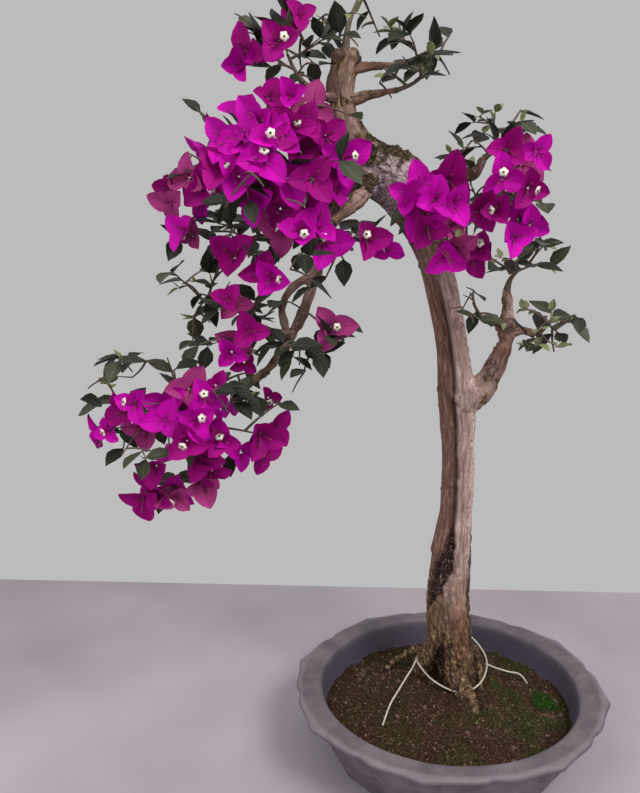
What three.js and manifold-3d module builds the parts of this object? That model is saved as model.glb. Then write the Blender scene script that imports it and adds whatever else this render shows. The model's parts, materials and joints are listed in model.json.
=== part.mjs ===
// A bougainvillea bonsai, trained as a leaning semi-cascade, in its oval clay pot.
//
// Millimetres, +Z up. The origin is the centre of the pot's flat underside, X runs along the pot and -Y is
// the side the tree is viewed from. Trunk, boughs and foliage masses are separate solids that meet with a
// small gap. Every foliage mass grows from one stem by a seeded rule and keeps to its own space.

import * as THREE from "three";
import Module from "manifold-3d";

const wasm = await Module();
wasm.setup();

// Clearance between neighbouring solids.
const GAP = 0.3;

// Pot: an oval bowl under a wide flange with eight bracket-shaped lobes.
const POT_HEIGHT = 68;
const RIM_HALF_LENGTH = 148;
const RIM_HALF_WIDTH = 125;
const OPENING_HALF_LENGTH = 124;
const OPENING_HALF_WIDTH = 107;
const FLANGE_THICKNESS = 7;
const FOOT_INSET = 14;
const WALL_THICKNESS = 7;
const FLOOR_THICKNESS = 10;
const LOBES = 8;
const STEPS_PER_LOBE = 8;
const CUSP_HEIGHT = 0.055;
const CUSP_WIDTH = 0.13;
const LOBE_SWELL = 0.028;
const NOTCH_DEPTH = 0.024;
const NOTCH_WIDTH = 0.06;
const WALL_LOBES = 0.7;

// Soil: level at the pot's wall, rising to a flat crown under the trunk.
const SOIL_EDGE = 41;
const SOIL_INSET = { top: 4, bottom: 20 };
const SOIL_CROWN = 50;
const CROWN_AT = [9, 14];
const CROWN_HALF_LENGTH = 50;
const CROWN_HALF_WIDTH = 45;

// Trunk: centreline stations with the radius of each, from the soil to the dead knot at the top.
const TRUNK = [
  { at: [11, 21, SOIL_CROWN + GAP], radius: 22 },
  { at: [6, 18.5, 80], radius: 22.5 },
  { at: [4, 17, 135], radius: 21.5 },
  { at: [3, 18, 180], radius: 20 },
  { at: [8, 20, 236], radius: 15.5 },
  { at: [8, 21, 290], radius: 15 },
  { at: [4, 21, 348], radius: 17 },
  { at: [-4, 19, 401], radius: 14 },
  { at: [-16, 18, 450], radius: 14 },
  { at: [-29, 18, 490], radius: 16 },
  { at: [-54, 19, 535], radius: 23.5 },
  { at: [-79, 20, 549], radius: 22 },
  { at: [-98, 18, 567], radius: 17 },
  { at: [-105, 17, 590], radius: 13.5 },
  { at: [-108, 14, 614], radius: 12 },
  { at: [-105, 12, 632], radius: 12.5 },
  { at: [-105, 11, 639], radius: 9 },
];
const TRUNK_SIDES = 14;
const TRUNK_RINGS = 32;
const ROOTS = [
  { angle: 154, reach: 16 },
  { angle: 100, reach: 12 },
  { angle: -20, reach: 11 },
  { angle: -78, reach: 25 },
];
const ROOT_HEIGHT = 34;
const ROOT_SPREAD = 18;
const GROOVE_DEPTH = 0.2;
const GROOVE_SPREAD = 24;
const HOLLOW = { low: 128, high: 212, depth: 0.42 };

// Boughs: each one tapering limb, listed from its root in the trunk to the tip that a mass grows from.
const BOUGHS = {
  bough_right_upper: [
    { at: [-44, 16, 524], radius: 10 },
    { at: [-29, 7, 535], radius: 6.5 },
    { at: [-10, 1, 541], radius: 5.2 },
    { at: [2, -5, 544], radius: 5 },
    { at: [8, -8, 554], radius: 3.6 },
  ],
  bough_right_low: [
    { at: [6, 20, 344], radius: 14 },
    { at: [25, 12, 359], radius: 12 },
    { at: [38, 8, 386], radius: 7.8 },
    { at: [43, 7, 402], radius: 7.2 },
    { at: [43, 7, 416], radius: 9 },
    { at: [43, 7, 430], radius: 5 },
    { at: [41, 7, 446], radius: 3.8 },
  ],
  bough_right_fork: [
    { at: [46, 6, 409], radius: 4.6 },
    { at: [57, 1, 411], radius: 4 },
    { at: [66, -2, 407], radius: 3.4 },
  ],
  bough_right_inner: [
    { at: [40, 7, 415], radius: 3.6 },
    { at: [30, 10, 417], radius: 3 },
    { at: [20, 8, 421], radius: 2.2 },
  ],
  bough_cascade: [
    { at: [-82, 22, 549], radius: 12 },
    { at: [-104, 36, 533], radius: 8.4 },
    { at: [-122, 34, 481], radius: 6 },
    { at: [-137, 26, 432], radius: 4.8 },
    { at: [-151, 21, 405], radius: 4.4 },
    { at: [-174, 13, 376], radius: 3.7 },
    { at: [-198, 10, 363], radius: 3 },
  ],
  bough_cascade_fork: [
    { at: [-128, 30, 460], radius: 4 },
    { at: [-148, 26, 449], radius: 3.4 },
    { at: [-158, 22, 432], radius: 3.2 },
    { at: [-155, 21, 415], radius: 3.2 },
  ],
  bough_cascade_spur: [
    { at: [-147, 22, 409], radius: 2.8 },
    { at: [-164, 8, 412], radius: 2.4 },
    { at: [-178, 2, 418], radius: 2 },
  ],
  bough_shoulder: [
    { at: [-84, 16, 553], radius: 12 },
    { at: [-104, 2, 546], radius: 8.5 },
    { at: [-126, -9, 540], radius: 4.8 },
  ],
  bough_shoulder_low: [
    { at: [-78, 14, 543], radius: 8 },
    { at: [-96, -6, 521], radius: 6 },
    { at: [-118, -12, 501], radius: 3.8 },
  ],
  bough_back: [
    { at: [-66, 22, 542], radius: 9 },
    { at: [-78, 42, 545], radius: 5.5 },
    { at: [-96, 58, 553], radius: 3.4 },
  ],
  bough_apex_right: [
    { at: [-108, 13, 622], radius: 6 },
    { at: [-88, 12, 626], radius: 4.4 },
    { at: [-64, 14, 629], radius: 2.8 },
  ],
  bough_apex_low: [
    { at: [-105, 14, 599], radius: 7 },
    { at: [-88, 3, 602], radius: 4.6 },
    { at: [-66, -8, 604], radius: 2.4 },
  ],
  bough_apex_left: [
    { at: [-108, 14, 601], radius: 4.6 },
    { at: [-126, 6, 602], radius: 2.8 },
    { at: [-140, -1, 609], radius: 2 },
  ],
};
const BOUGH_SIDES = 7;
const RINGS_PER_STATION = 2;

// The limbs that each bough is fitted against, so that its root follows their surface.
const CARRIED_BY = {
  bough_right_fork: ["bough_right_low"],
  bough_right_inner: ["bough_right_low"],
  bough_cascade_fork: ["bough_cascade"],
  bough_cascade_spur: ["bough_cascade", "bough_cascade_fork"],
  bough_shoulder: ["bough_cascade"],
  bough_shoulder_low: ["bough_cascade", "bough_shoulder"],
  bough_back: ["bough_cascade"],
};

// Leaves, bracts and twigs.
const LEAF = { length: 23, width: 14, fold: 1.6, thickness: 0.9 };
const BRACT = { length: 27, width: 22, fold: 3.2, thickness: 0.9 };
const BRACT_OPENING = 62;
const CUP_RADIUS = 5;
const CUP_DEPTH = 2;
const BLOOM_ATTEMPTS = 10;
const BLOOM_SHRINK = 0.96;
const GOLDEN_ANGLE = Math.PI * (3 - Math.sqrt(5));
const TWIG = { base: 1.5, tip: 1 };
const STEM_FOOT = 2.6;
const STEM_FOOT_MOST = 4;
const STEM_TIP = 1.4;
const STEM_SEGMENTS = 6;
const LONG_SHOOT = 30;
const INTERNODE = 19;
const LEAF_SPACING = 13;
const LEAF_TO_BLOOM = 17;
const BLOOM_SPACING = 24;
const SKIN = 0.03;
const SLIVER = 0.35;

// Foliage masses: the stem, the space it keeps to, the main blooms and leafy shoots that give its outline,
// and how many more of each the seeded rule adds at its back and sides.
const MASSES = {
  foliage_apex_left: {
    from: "bough_apex_left",
    seed: 11,
    stem: [[-147, 4, 620], [-152, 8, 632]],
    spaces: [{ at: [-150, 6, 639], reach: [52, 44, 38] }],
    blooms: [[-170, 3, 630], [-144, 16, 656]],
    shoots: [[-126, 6, 642], [-160, -6, 620]],
    more: { blooms: 1, shoots: 2 },
  },
  foliage_apex_top: {
    from: "trunk",
    seed: 23,
    stem: [[-103, 10, 655], [-95, 14, 676]],
    spaces: [{ at: [-96, 14, 668], reach: [46, 46, 40] }],
    blooms: [],
    shoots: [[-120, 12, 664], [-82, 14, 684], [-92, -4, 646], [-116, 28, 652]],
    more: { blooms: 1, shoots: 3 },
  },
  foliage_apex_right: {
    from: "bough_apex_right",
    seed: 37,
    stem: [[-50, 12, 633], [-36, 11, 640]],
    spaces: [{ at: [-42, 12, 640], reach: [54, 44, 34] }],
    blooms: [],
    shoots: [[-68, 9, 649], [-50, 6, 644], [-18, 12, 653], [-16, 8, 637]],
    more: { blooms: 1, shoots: 3 },
  },
  foliage_apex_low: {
    from: "bough_apex_low",
    seed: 41,
    stem: [[-55, -11, 608], [-45, -10, 615]],
    spaces: [{ at: [-45, -8, 612], reach: [42, 40, 28] }],
    blooms: [],
    shoots: [[-30, 0, 622], [-52, -20, 618]],
    more: { blooms: 0, shoots: 2 },
  },
  foliage_shoulder: {
    from: "bough_shoulder",
    seed: 17,
    stem: [[-150, -2, 546], [-174, 6, 550], [-196, 12, 548]],
    spaces: [{ at: [-168, 4, 550], reach: [106, 88, 74] }],
    blooms: [
      [-159, -6, 590], [-188, 12, 585], [-199, -8, 553], [-218, -4, 528], [-246, 24, 530],
      [-138, -46, 530], [-113, -34, 546], [-146, -34, 552], [-173, -32, 528], [-134, -4, 590],
    ],
    shoots: [[-180, -26, 574], [-205, 0, 508], [-232, 10, 556]],
    more: { blooms: 6, shoots: 5 },
  },
  foliage_back: {
    from: "bough_back",
    seed: 53,
    stem: [[-108, 66, 560], [-122, 70, 564]],
    spaces: [{ at: [-98, 84, 560], reach: [62, 50, 48] }],
    blooms: [[-84, 92, 566], [-126, 96, 552], [-96, 96, 536]],
    shoots: [[-112, 92, 580], [-70, 78, 548], [-110, 76, 538]],
    more: { blooms: 2, shoots: 2 },
  },
  foliage_shoulder_low: {
    from: "bough_shoulder_low",
    seed: 61,
    stem: [[-140, -14, 494], [-165, -8, 490], [-190, 2, 490]],
    spaces: [{ at: [-160, -2, 476], reach: [122, 78, 52] }],
    blooms: [
      [-232, 12, 492], [-159, -16, 494], [-128, -26, 484], [-176, -16, 464], [-95, -39, 486], [-198, 2, 474],
    ],
    shoots: [[-206, -2, 500], [-124, -8, 456], [-108, -14, 470], [-147, -26, 474], [-184, -20, 498]],
    more: { blooms: 4, shoots: 5 },
  },
  foliage_cascade_left: {
    from: "bough_cascade_spur",
    seed: 71,
    stem: [[-192, 6, 426], [-206, 14, 440]],
    spaces: [
      { at: [-204, 8, 418], reach: [66, 58, 46] },
      { at: [-222, 20, 452], reach: [52, 46, 38] },
    ],
    blooms: [[-199, 2, 434], [-196, -8, 406]],
    shoots: [[-211, 20, 468], [-246, 28, 457], [-230, 24, 444], [-236, 22, 400], [-178, 4, 438]],
    more: { blooms: 2, shoots: 4 },
  },
  foliage_cascade_inner: {
    from: "bough_cascade",
    foot: [-151, 21, 404],
    seed: 83,
    stem: [[-149, 4, 397], [-142, -4, 398]],
    spaces: [{ at: [-138, -4, 400], reach: [52, 54, 48] }],
    blooms: [[-120, -18, 417]],
    shoots: [[-168, -10, 400], [-152, -14, 406], [-126, -4, 392], [-142, -10, 378]],
    more: { blooms: 1, shoots: 4 },
  },
  foliage_cascade_tip: {
    from: "bough_cascade",
    seed: 167,
    stem: [[-220, 8, 359], [-244, 14, 352], [-268, 22, 352]],
    spaces: [
      { at: [-246, 8, 335], reach: [114, 80, 78] },
      { at: [-262, 14, 290], reach: [66, 56, 62] },
    ],
    blooms: [
      [-253, 18, 378], [-296, 18, 344], [-275, -2, 334], [-257, -10, 354], [-238, -8, 366], [-222, -24, 338],
      [-231, -14, 309], [-180, -16, 327], [-322, 34, 320], [-277, 16, 276], [-254, 4, 276], [-230, -4, 284],
    ],
    shoots: [
      [-292, 32, 386], [-314, 30, 372], [-302, 24, 304], [-206, -2, 304], [-162, -6, 352], [-208, 4, 374],
    ],
    more: { blooms: 5, shoots: 4 },
  },
  foliage_right_front: {
    from: "trunk",
    foot: [-42, 18, 518],
    seed: 151,
    stem: [[-40, -14, 524], [-38, -28, 520]],
    spaces: [{ at: [-38, -40, 520], reach: [48, 46, 52] }],
    blooms: [[-54, -40, 527], [-52, -44, 506], [-31, -38, 531], [-30, -42, 496]],
    shoots: [[-22, -18, 548], [-24, -44, 514]],
    more: { blooms: 0, shoots: 2 },
  },
  foliage_right_upper: {
    from: "bough_right_upper",
    seed: 241,
    stem: [[14, -10, 558], [22, -10, 558]],
    spaces: [
      { at: [26, -10, 552], reach: [60, 54, 54] },
      { at: [18, -28, 505], reach: [50, 50, 58] },
    ],
    blooms: [[36, -19, 548], [30, -34, 503], [4, -31, 511], [-11, -36, 476]],
    shoots: [[20, 3, 588], [42, 2, 595], [-2, 5, 570], [46, -4, 580], [10, -24, 532]],
    more: { blooms: 1, shoots: 5 },
  },
  foliage_right_low: {
    from: "bough_right_low",
    seed: 127,
    stem: [[43, 5, 456], [50, 1, 466]],
    spaces: [{ at: [54, 0, 470], reach: [46, 44, 40] }],
    blooms: [],
    shoots: [[37, -2, 465], [60, -3, 468], [66, -10, 486], [48, 20, 474]],
    more: { blooms: 1, shoots: 3 },
  },
  foliage_right_fork: {
    from: "bough_right_fork",
    seed: 131,
    stem: [[72, -4, 412], [78, -4, 419]],
    spaces: [{ at: [74, -3, 416], reach: [48, 44, 36] }],
    blooms: [],
    shoots: [[56, 2, 431], [92, -10, 421], [70, -12, 402], [86, -8, 408], [76, 14, 426]],
    more: { blooms: 1, shoots: 2 },
  },
  foliage_right_inner: {
    from: "bough_right_inner",
    seed: 139,
    stem: [[14, 4, 428], [8, 0, 436]],
    spaces: [{ at: [10, 0, 434], reach: [36, 38, 32] }],
    blooms: [],
    shoots: [[4, -4, 444], [12, -4, 428], [14, 16, 446]],
    more: { blooms: 0, shoots: 2 },
  },
};

const COLOURS = {
  pot: "#6a636c",
  soil: "#33271d",
  trunk: "#96796f",
  bough: "#8d746a",
  foliage: "#a3128f",
};

const radians = THREE.MathUtils.degToRad;
const vector = (point) => new THREE.Vector3(...point);

// ---- closed solids ----

function solidFrom(points, triangles) {
  const vertProperties = new Float32Array(points.flatMap((point) => [point.x, point.y, point.z]));
  const triVerts = new Uint32Array(triangles.flat());
  return new wasm.Manifold(new wasm.Mesh({ numProp: 3, vertProperties, triVerts }));
}

// Skins a row of rings that run anticlockwise round the way they advance, and closes both ends with a fan.
function skinRings(rings) {
  const sides = rings[0].length;
  const points = rings.flat();
  const triangles = [];
  for (let ring = 0; ring + 1 < rings.length; ring += 1) {
    for (let side = 0; side < sides; side += 1) {
      const here = ring * sides + side;
      const next = ring * sides + ((side + 1) % sides);
      triangles.push([here, next, next + sides], [here, next + sides, here + sides]);
    }
  }
  const first = points.length;
  const last = first + 1;
  const end = (rings.length - 1) * sides;
  points.push(middleOf(rings[0]), middleOf(rings[rings.length - 1]));
  for (let side = 0; side < sides; side += 1) {
    const next = (side + 1) % sides;
    triangles.push([first, next, side], [last, end + side, end + next]);
  }
  return solidFrom(points, triangles);
}

function middleOf(ring) {
  const middle = new THREE.Vector3();
  ring.forEach((point) => middle.add(point));
  return middle.divideScalar(ring.length);
}

// The main body of a fused solid: sealed hollows are filled and loose scraps dropped.
function mainBody(solid) {
  const pieces = solid.decompose();
  return pieces.reduce((largest, piece) => (piece.volume() > largest.volume() ? piece : largest));
}

function meshFrom(name, solid, colour, roughness) {
  const { vertProperties, triVerts } = solid.getMesh();
  const geometry = new THREE.BufferGeometry();
  geometry.setAttribute("position", new THREE.BufferAttribute(new Float32Array(vertProperties), 3));
  geometry.setIndex(new THREE.BufferAttribute(new Uint32Array(triVerts), 1));
  geometry.computeVertexNormals();
  const material = new THREE.MeshStandardMaterial({ color: colour, roughness, metalness: 0 });
  const mesh = new THREE.Mesh(geometry, material);
  mesh.name = name;
  return mesh;
}

// ---- pot and soil ----

// How far the lobed outline stands out: a cusp, a swell on both sides and a notch before the next.
function lobeFactor(angle) {
  const lobe = (2 * Math.PI) / LOBES;
  const fromCusp = Math.abs((((angle / lobe) % 1) + 1) % 1 - 0.5) * lobe;
  const fromNotch = lobe / 2 - fromCusp;
  const cusp = CUSP_HEIGHT * Math.exp(-Math.pow(fromCusp / CUSP_WIDTH, 1.3));
  const swell = LOBE_SWELL * (1 - Math.cos((2 * Math.PI * fromCusp) / lobe)) * 0.5;
  const notch = NOTCH_DEPTH * Math.exp(-Math.pow(fromNotch / NOTCH_WIDTH, 2));
  return 0.985 + cusp + swell - notch;
}

function ovalRing(halfLength, halfWidth, height, lobed = 0, middle = [0, 0]) {
  const steps = LOBES * STEPS_PER_LOBE;
  const ring = [];
  for (let step = 0; step < steps; step += 1) {
    const angle = (2 * Math.PI * step) / steps;
    const factor = 1 + lobed * (lobeFactor(angle) - 1);
    const x = middle[0] + halfLength * factor * Math.cos(angle);
    const y = middle[1] + halfWidth * factor * Math.sin(angle);
    ring.push(new THREE.Vector3(x, y, height));
  }
  return ring;
}

function rimRing(inset, height) {
  return ovalRing(RIM_HALF_LENGTH - inset, RIM_HALF_WIDTH - inset, height, 1);
}

// A ring that stands out from the pot's opening; the outside of the wall carries part of the lobes.
function wallRing(outset, height, lobed = 0) {
  return ovalRing(OPENING_HALF_LENGTH + outset, OPENING_HALF_WIDTH + outset, height, lobed);
}

function makePot() {
  const under = POT_HEIGHT - FLANGE_THICKNESS;
  const rings = [
    wallRing(-FOOT_INSET, 0, WALL_LOBES),
    wallRing(WALL_THICKNESS - 16, 12, WALL_LOBES),
    wallRing(WALL_THICKNESS - 4, 36, WALL_LOBES),
    wallRing(WALL_THICKNESS, under - 1, WALL_LOBES),
    rimRing(3, under),
    rimRing(0, under + 2),
    rimRing(0.5, POT_HEIGHT - 1.5),
    rimRing(3, POT_HEIGHT),
    wallRing(2, POT_HEIGHT - 0.6),
    wallRing(0, POT_HEIGHT - 3),
    wallRing(-SOIL_INSET.top, SOIL_EDGE),
    wallRing(-SOIL_INSET.bottom, FLOOR_THICKNESS),
  ];
  return skinRings(rings);
}

function makeSoil() {
  const edge = SOIL_INSET.top + GAP;
  const crownRing = (share, height) => {
    const length = THREE.MathUtils.lerp(OPENING_HALF_LENGTH - edge, CROWN_HALF_LENGTH, share);
    const width = THREE.MathUtils.lerp(OPENING_HALF_WIDTH - edge, CROWN_HALF_WIDTH, share);
    return ovalRing(length, width, height, 0, [CROWN_AT[0] * share, CROWN_AT[1] * share]);
  };
  const rings = [
    wallRing(-SOIL_INSET.bottom - GAP, FLOOR_THICKNESS + GAP),
    crownRing(0, SOIL_EDGE),
    crownRing(0.4, SOIL_EDGE + 3.5),
    crownRing(0.8, SOIL_CROWN - 1),
    crownRing(1, SOIL_CROWN),
  ];
  return skinRings(rings);
}

// ---- limbs ----

// Every limb is also kept as a row of balls, which foliage is tested against.
const limbBalls = [];

// Smooth centreline and radius through the stations, sampled evenly between them.
function limbPath(stations, rings) {
  const points = stations.map((station) => vector(station.at));
  const curve = new THREE.CatmullRomCurve3(points, false, "centripetal");
  const radiusAt = (share) => {
    const place = share * (stations.length - 1);
    const index = Math.min(Math.floor(place), stations.length - 2);
    const blend = THREE.MathUtils.smoothstep(place - index, 0, 1);
    return THREE.MathUtils.lerp(stations[index].radius, stations[index + 1].radius, blend);
  };
  const samples = [];
  for (let ring = 0; ring <= rings; ring += 1) {
    const share = ring / rings;
    samples.push({
      at: curve.getPoint(share),
      along: curve.getTangent(share),
      radius: radiusAt(share),
      share,
    });
  }
  return samples;
}

// Lofts a limb. Its section is a circle times sectionFactor(angle, sample); grown adds a clearance all round.
function makeLimb(samples, sides, sectionFactor = () => 1, grown = 0) {
  const back = new THREE.Vector3(0, 1, 0);
  const rings = samples.map((sample) => {
    const along = sample.along.clone();
    if (sample.share === 0 && sample.flatFoot) along.set(0, 0, 1);
    const across = new THREE.Vector3().crossVectors(back, along).normalize();
    const through = new THREE.Vector3().crossVectors(along, across).normalize();
    const ring = [];
    for (let side = 0; side < sides; side += 1) {
      const angle = (2 * Math.PI * side) / sides;
      const radius = sample.radius * sectionFactor(angle, sample) + grown;
      const point = sample.at.clone().addScaledVector(along, grown * endSide(sample));
      point.addScaledVector(across, radius * Math.cos(angle));
      point.addScaledVector(through, radius * Math.sin(angle));
      ring.push(point);
    }
    return ring;
  });
  return skinRings(rings);
}

// -1 at a limb's foot, 1 at its tip and 0 between them.
function endSide(sample) {
  if (sample.share === 0) return -1;
  return sample.share === 1 ? 1 : 0;
}

function nearAngle(angle, degrees, spread) {
  const turn = angle - radians(degrees);
  const away = Math.atan2(Math.sin(turn), Math.cos(turn));
  return Math.exp(-Math.pow(away / radians(spread), 2));
}

// Two strands grown together: a groove front and back, a rotted hollow low in front, and spreading roots.
function trunkSection(angle, sample) {
  const height = sample.at.z;
  const rootFade = Math.exp(-Math.max(0, height - SOIL_CROWN) / ROOT_HEIGHT * 1.6);
  const roots = ROOTS.reduce(
    (sum, root) => sum + root.reach * nearAngle(angle, root.angle, ROOT_SPREAD), 0);
  const grooveFade = 1 - THREE.MathUtils.smoothstep(height, 430, 500);
  const inHollow = THREE.MathUtils.smoothstep(height, HOLLOW.low, HOLLOW.low + 22)
    * (1 - THREE.MathUtils.smoothstep(height, HOLLOW.high - 22, HOLLOW.high));
  const frontDepth = GROOVE_DEPTH * grooveFade * (1 - rootFade) + (HOLLOW.depth - GROOVE_DEPTH) * inHollow;
  const front = frontDepth * nearAngle(angle, -97, GROOVE_SPREAD);
  const rear = GROOVE_DEPTH * grooveFade * nearAngle(angle, 84, GROOVE_SPREAD);
  return 1 + (roots / sample.radius) * rootFade - front - rear;
}

function trunkSamples() {
  const samples = limbPath(TRUNK, TRUNK_RINGS);
  samples[0].flatFoot = true;
  return samples;
}

function makeLimbs() {
  const trunkPath = trunkSamples();
  const solids = { trunk: makeLimb(trunkPath, TRUNK_SIDES, trunkSection) };
  const grown = { trunk: makeLimb(trunkPath, TRUNK_SIDES, trunkSection, GAP) };
  addBalls(TRUNK);
  for (const [name, stations] of Object.entries(BOUGHS)) {
    const path = limbPath(stations, (stations.length - 1) * RINGS_PER_STATION);
    let bough = makeLimb(path, BOUGH_SIDES);
    for (const carrier of ["trunk", ...(CARRIED_BY[name] ?? [])]) {
      bough = bough.subtract(grown[carrier]);
    }
    solids[name] = mainBody(bough);
    grown[name] = makeLimb(path, BOUGH_SIDES, () => 1, GAP);
    addBalls(stations);
  }
  return { solids, grown };
}

function addBalls(stations) {
  const length = stations.slice(1).reduce(
    (sum, station, index) => sum + vector(station.at).distanceTo(vector(stations[index].at)), 0);
  for (const sample of limbPath(stations, Math.ceil(length / 3))) {
    limbBalls.push({ at: sample.at, radius: sample.radius });
  }
}

// ---- foliage ----

// A repeatable random number source, from 0 to 1.
function randomSource(seed) {
  let state = seed;
  return () => {
    state = (state * 16807) % 2147483647;
    return state / 2147483647;
  };
}

// How deep a point lies in a space: 0 at its middle, 1 at its skin.
function depthIn(space, point) {
  const away = point.clone().sub(vector(space.at));
  return away.divide(vector(space.reach)).length();
}

function depthInMass(mass, point) {
  return Math.min(...mass.spaces.map((space) => depthIn(space, point)));
}

function keepsToSpace(mass, points) {
  return points.every((point) => {
    const own = depthInMass(mass, point);
    const others = Object.values(MASSES).filter((other) => other !== mass);
    return own < 1 && others.every((other) => own + SKIN < depthInMass(other, point));
  });
}

function clearOfLimbs(points, triangles) {
  const middle = middleOf(points);
  const nearest = new THREE.Vector3();
  const near = limbBalls.filter((ball) => ball.at.distanceTo(middle) < ball.radius + BRACT.length + 4);
  return triangles.every(([a, b, c]) => {
    const face = new THREE.Triangle(points[a], points[b], points[c]);
    return near.every((ball) => {
      face.closestPointToPoint(ball.at, nearest);
      return nearest.distanceTo(ball.at) > ball.radius + 3 * GAP;
    });
  });
}

// A leaf: four corners folded along the midrib, thickest halfway up its upper side.
function leafShape(base, axis, normal, size) {
  const up = normal.clone().addScaledVector(axis, -normal.dot(axis)).normalize();
  const side = new THREE.Vector3().crossVectors(up, axis);
  const place = (along, across, lift) => base.clone()
    .addScaledVector(axis, along * size.length)
    .addScaledVector(side, across * size.width)
    .addScaledVector(up, lift);
  const points = [
    place(0, 0, 0),
    place(0.42, -0.5, size.fold),
    place(1, 0, 0),
    place(0.42, 0.5, size.fold),
    place(0.5, 0, size.thickness),
  ];
  const triangles = [[0, 1, 4], [1, 2, 4], [2, 3, 4], [3, 0, 4], [0, 2, 1], [0, 3, 2]];
  return { points, triangles };
}

// A bloom: three papery bracts that open from one cup, each drawn up to a midrib on its upper side.
function bloomShape(base, face, roll, size) {
  const start = perpendicularTo(face);
  const opening = radians(BRACT_OPENING);
  const points = [
    base.clone().addScaledVector(face, size.thickness),
    base.clone().addScaledVector(face, -3 * size.thickness),
  ];
  const triangles = [];
  for (let bract = 0; bract < 3; bract += 1) {
    const out = start.clone().applyAxisAngle(face, roll + (bract * 2 * Math.PI) / 3);
    const side = new THREE.Vector3().crossVectors(face, out);
    const axis = face.clone().multiplyScalar(Math.cos(opening)).addScaledVector(out, Math.sin(opening));
    const up = new THREE.Vector3().crossVectors(axis, side);
    const place = (along, across, lift) => base.clone()
      .addScaledVector(axis, along * size.length)
      .addScaledVector(side, across * size.width)
      .addScaledVector(up, lift);
    const corner = points.length;
    points.push(
      place(0.42, -0.5, size.fold),
      place(1, 0, 0),
      place(0.42, 0.5, size.fold),
      base.clone()
        .addScaledVector(out.applyAxisAngle(face, Math.PI / 3), CUP_RADIUS)
        .addScaledVector(face, CUP_DEPTH),
      place(0.5, 0, size.fold + size.thickness),
    );
    const valleyBefore = 2 + ((bract + 2) % 3) * 5 + 3;
    const rim = [valleyBefore, corner, corner + 1, corner + 2, corner + 3];
    const rib = corner + 4;
    for (let step = 0; step < 4; step += 1) {
      triangles.push([rim[step], rim[step + 1], rib]);
    }
    triangles.push([rim[4], 0, rib], [0, rim[0], rib], [1, rim[3], rim[1]], [rim[3], rim[2], rim[1]]);
    triangles.push([1, rim[1], rim[0]], [1, rim[4], rim[3]]);
  }
  return { points, triangles };
}

function perpendicularTo(direction) {
  const helper = Math.abs(direction.z) > 0.8 ? new THREE.Vector3(1, 0, 0) : new THREE.Vector3(0, 0, 1);
  return new THREE.Vector3().crossVectors(direction, helper).normalize();
}

// A three-sided twig along a gentle arc, drawn out to a point.
function twigShape(path, footRadius, tipRadius) {
  const last = path.length - 1;
  const points = [];
  path.slice(0, last).forEach((point, index) => {
    const along = path[index + 1].clone().sub(path[Math.max(index - 1, 0)]).normalize();
    const across = perpendicularTo(along);
    const radius = THREE.MathUtils.lerp(footRadius, tipRadius, index / last);
    for (let side = 0; side < 3; side += 1) {
      const out = across.clone().applyAxisAngle(along, (2 * Math.PI * side) / 3);
      points.push(point.clone().addScaledVector(out, radius));
    }
  });
  const tip = points.length;
  points.push(path[last].clone());
  const triangles = [[0, 2, 1]];
  for (let ring = 0; ring < last; ring += 1) {
    for (let side = 0; side < 3; side += 1) {
      const here = ring * 3 + side;
      const next = ring * 3 + ((side + 1) % 3);
      if (ring + 1 === last) triangles.push([here, next, tip]);
      else triangles.push([here, next, next + 3], [here, next + 3, here + 3]);
    }
  }
  return solidFrom(points, triangles);
}

function arcBetween(from, to, lift, segments) {
  const control = from.clone().lerp(to, 0.5).add(lift);
  const curve = new THREE.QuadraticBezierCurve3(from, control, to);
  return curve.getPoints(segments);
}

// Directions spread evenly over a sphere by the golden angle.
function evenDirection(index, count) {
  const height = 1 - (2 * index + 1) / count;
  const ring = Math.sqrt(1 - height * height);
  const angle = index * GOLDEN_ANGLE;
  return new THREE.Vector3(ring * Math.cos(angle), ring * Math.sin(angle), height);
}

// Tips that the seeded rule adds, at the back and sides of the mass where no main tip is near.
function moreTips(mass, tips, random) {
  const added = [];
  const wanted = mass.more.blooms + mass.more.shoots;
  const tries = 6 * wanted;
  for (let index = 0; index < tries && added.length < wanted; index += 1) {
    const space = mass.spaces[index % mass.spaces.length];
    const out = evenDirection(index, tries);
    const reach = 0.62 + 0.26 * random();
    const at = vector(space.at).addScaledVector(out.multiply(vector(space.reach)), reach);
    const crowded = [...tips, ...added].some((tip) => tip.at.distanceTo(at) < BLOOM_SPACING);
    const hidden = at.y > space.at[1] - 0.15 * space.reach[1];
    if (hidden && !crowded) added.push({ at, bloom: added.length % 2 === 0 });
  }
  let blooms = 0;
  return added.map((tip) => {
    const bloom = tip.bloom && blooms < mass.more.blooms;
    blooms += bloom ? 1 : 0;
    return { at: tip.at, bloom };
  });
}

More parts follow.
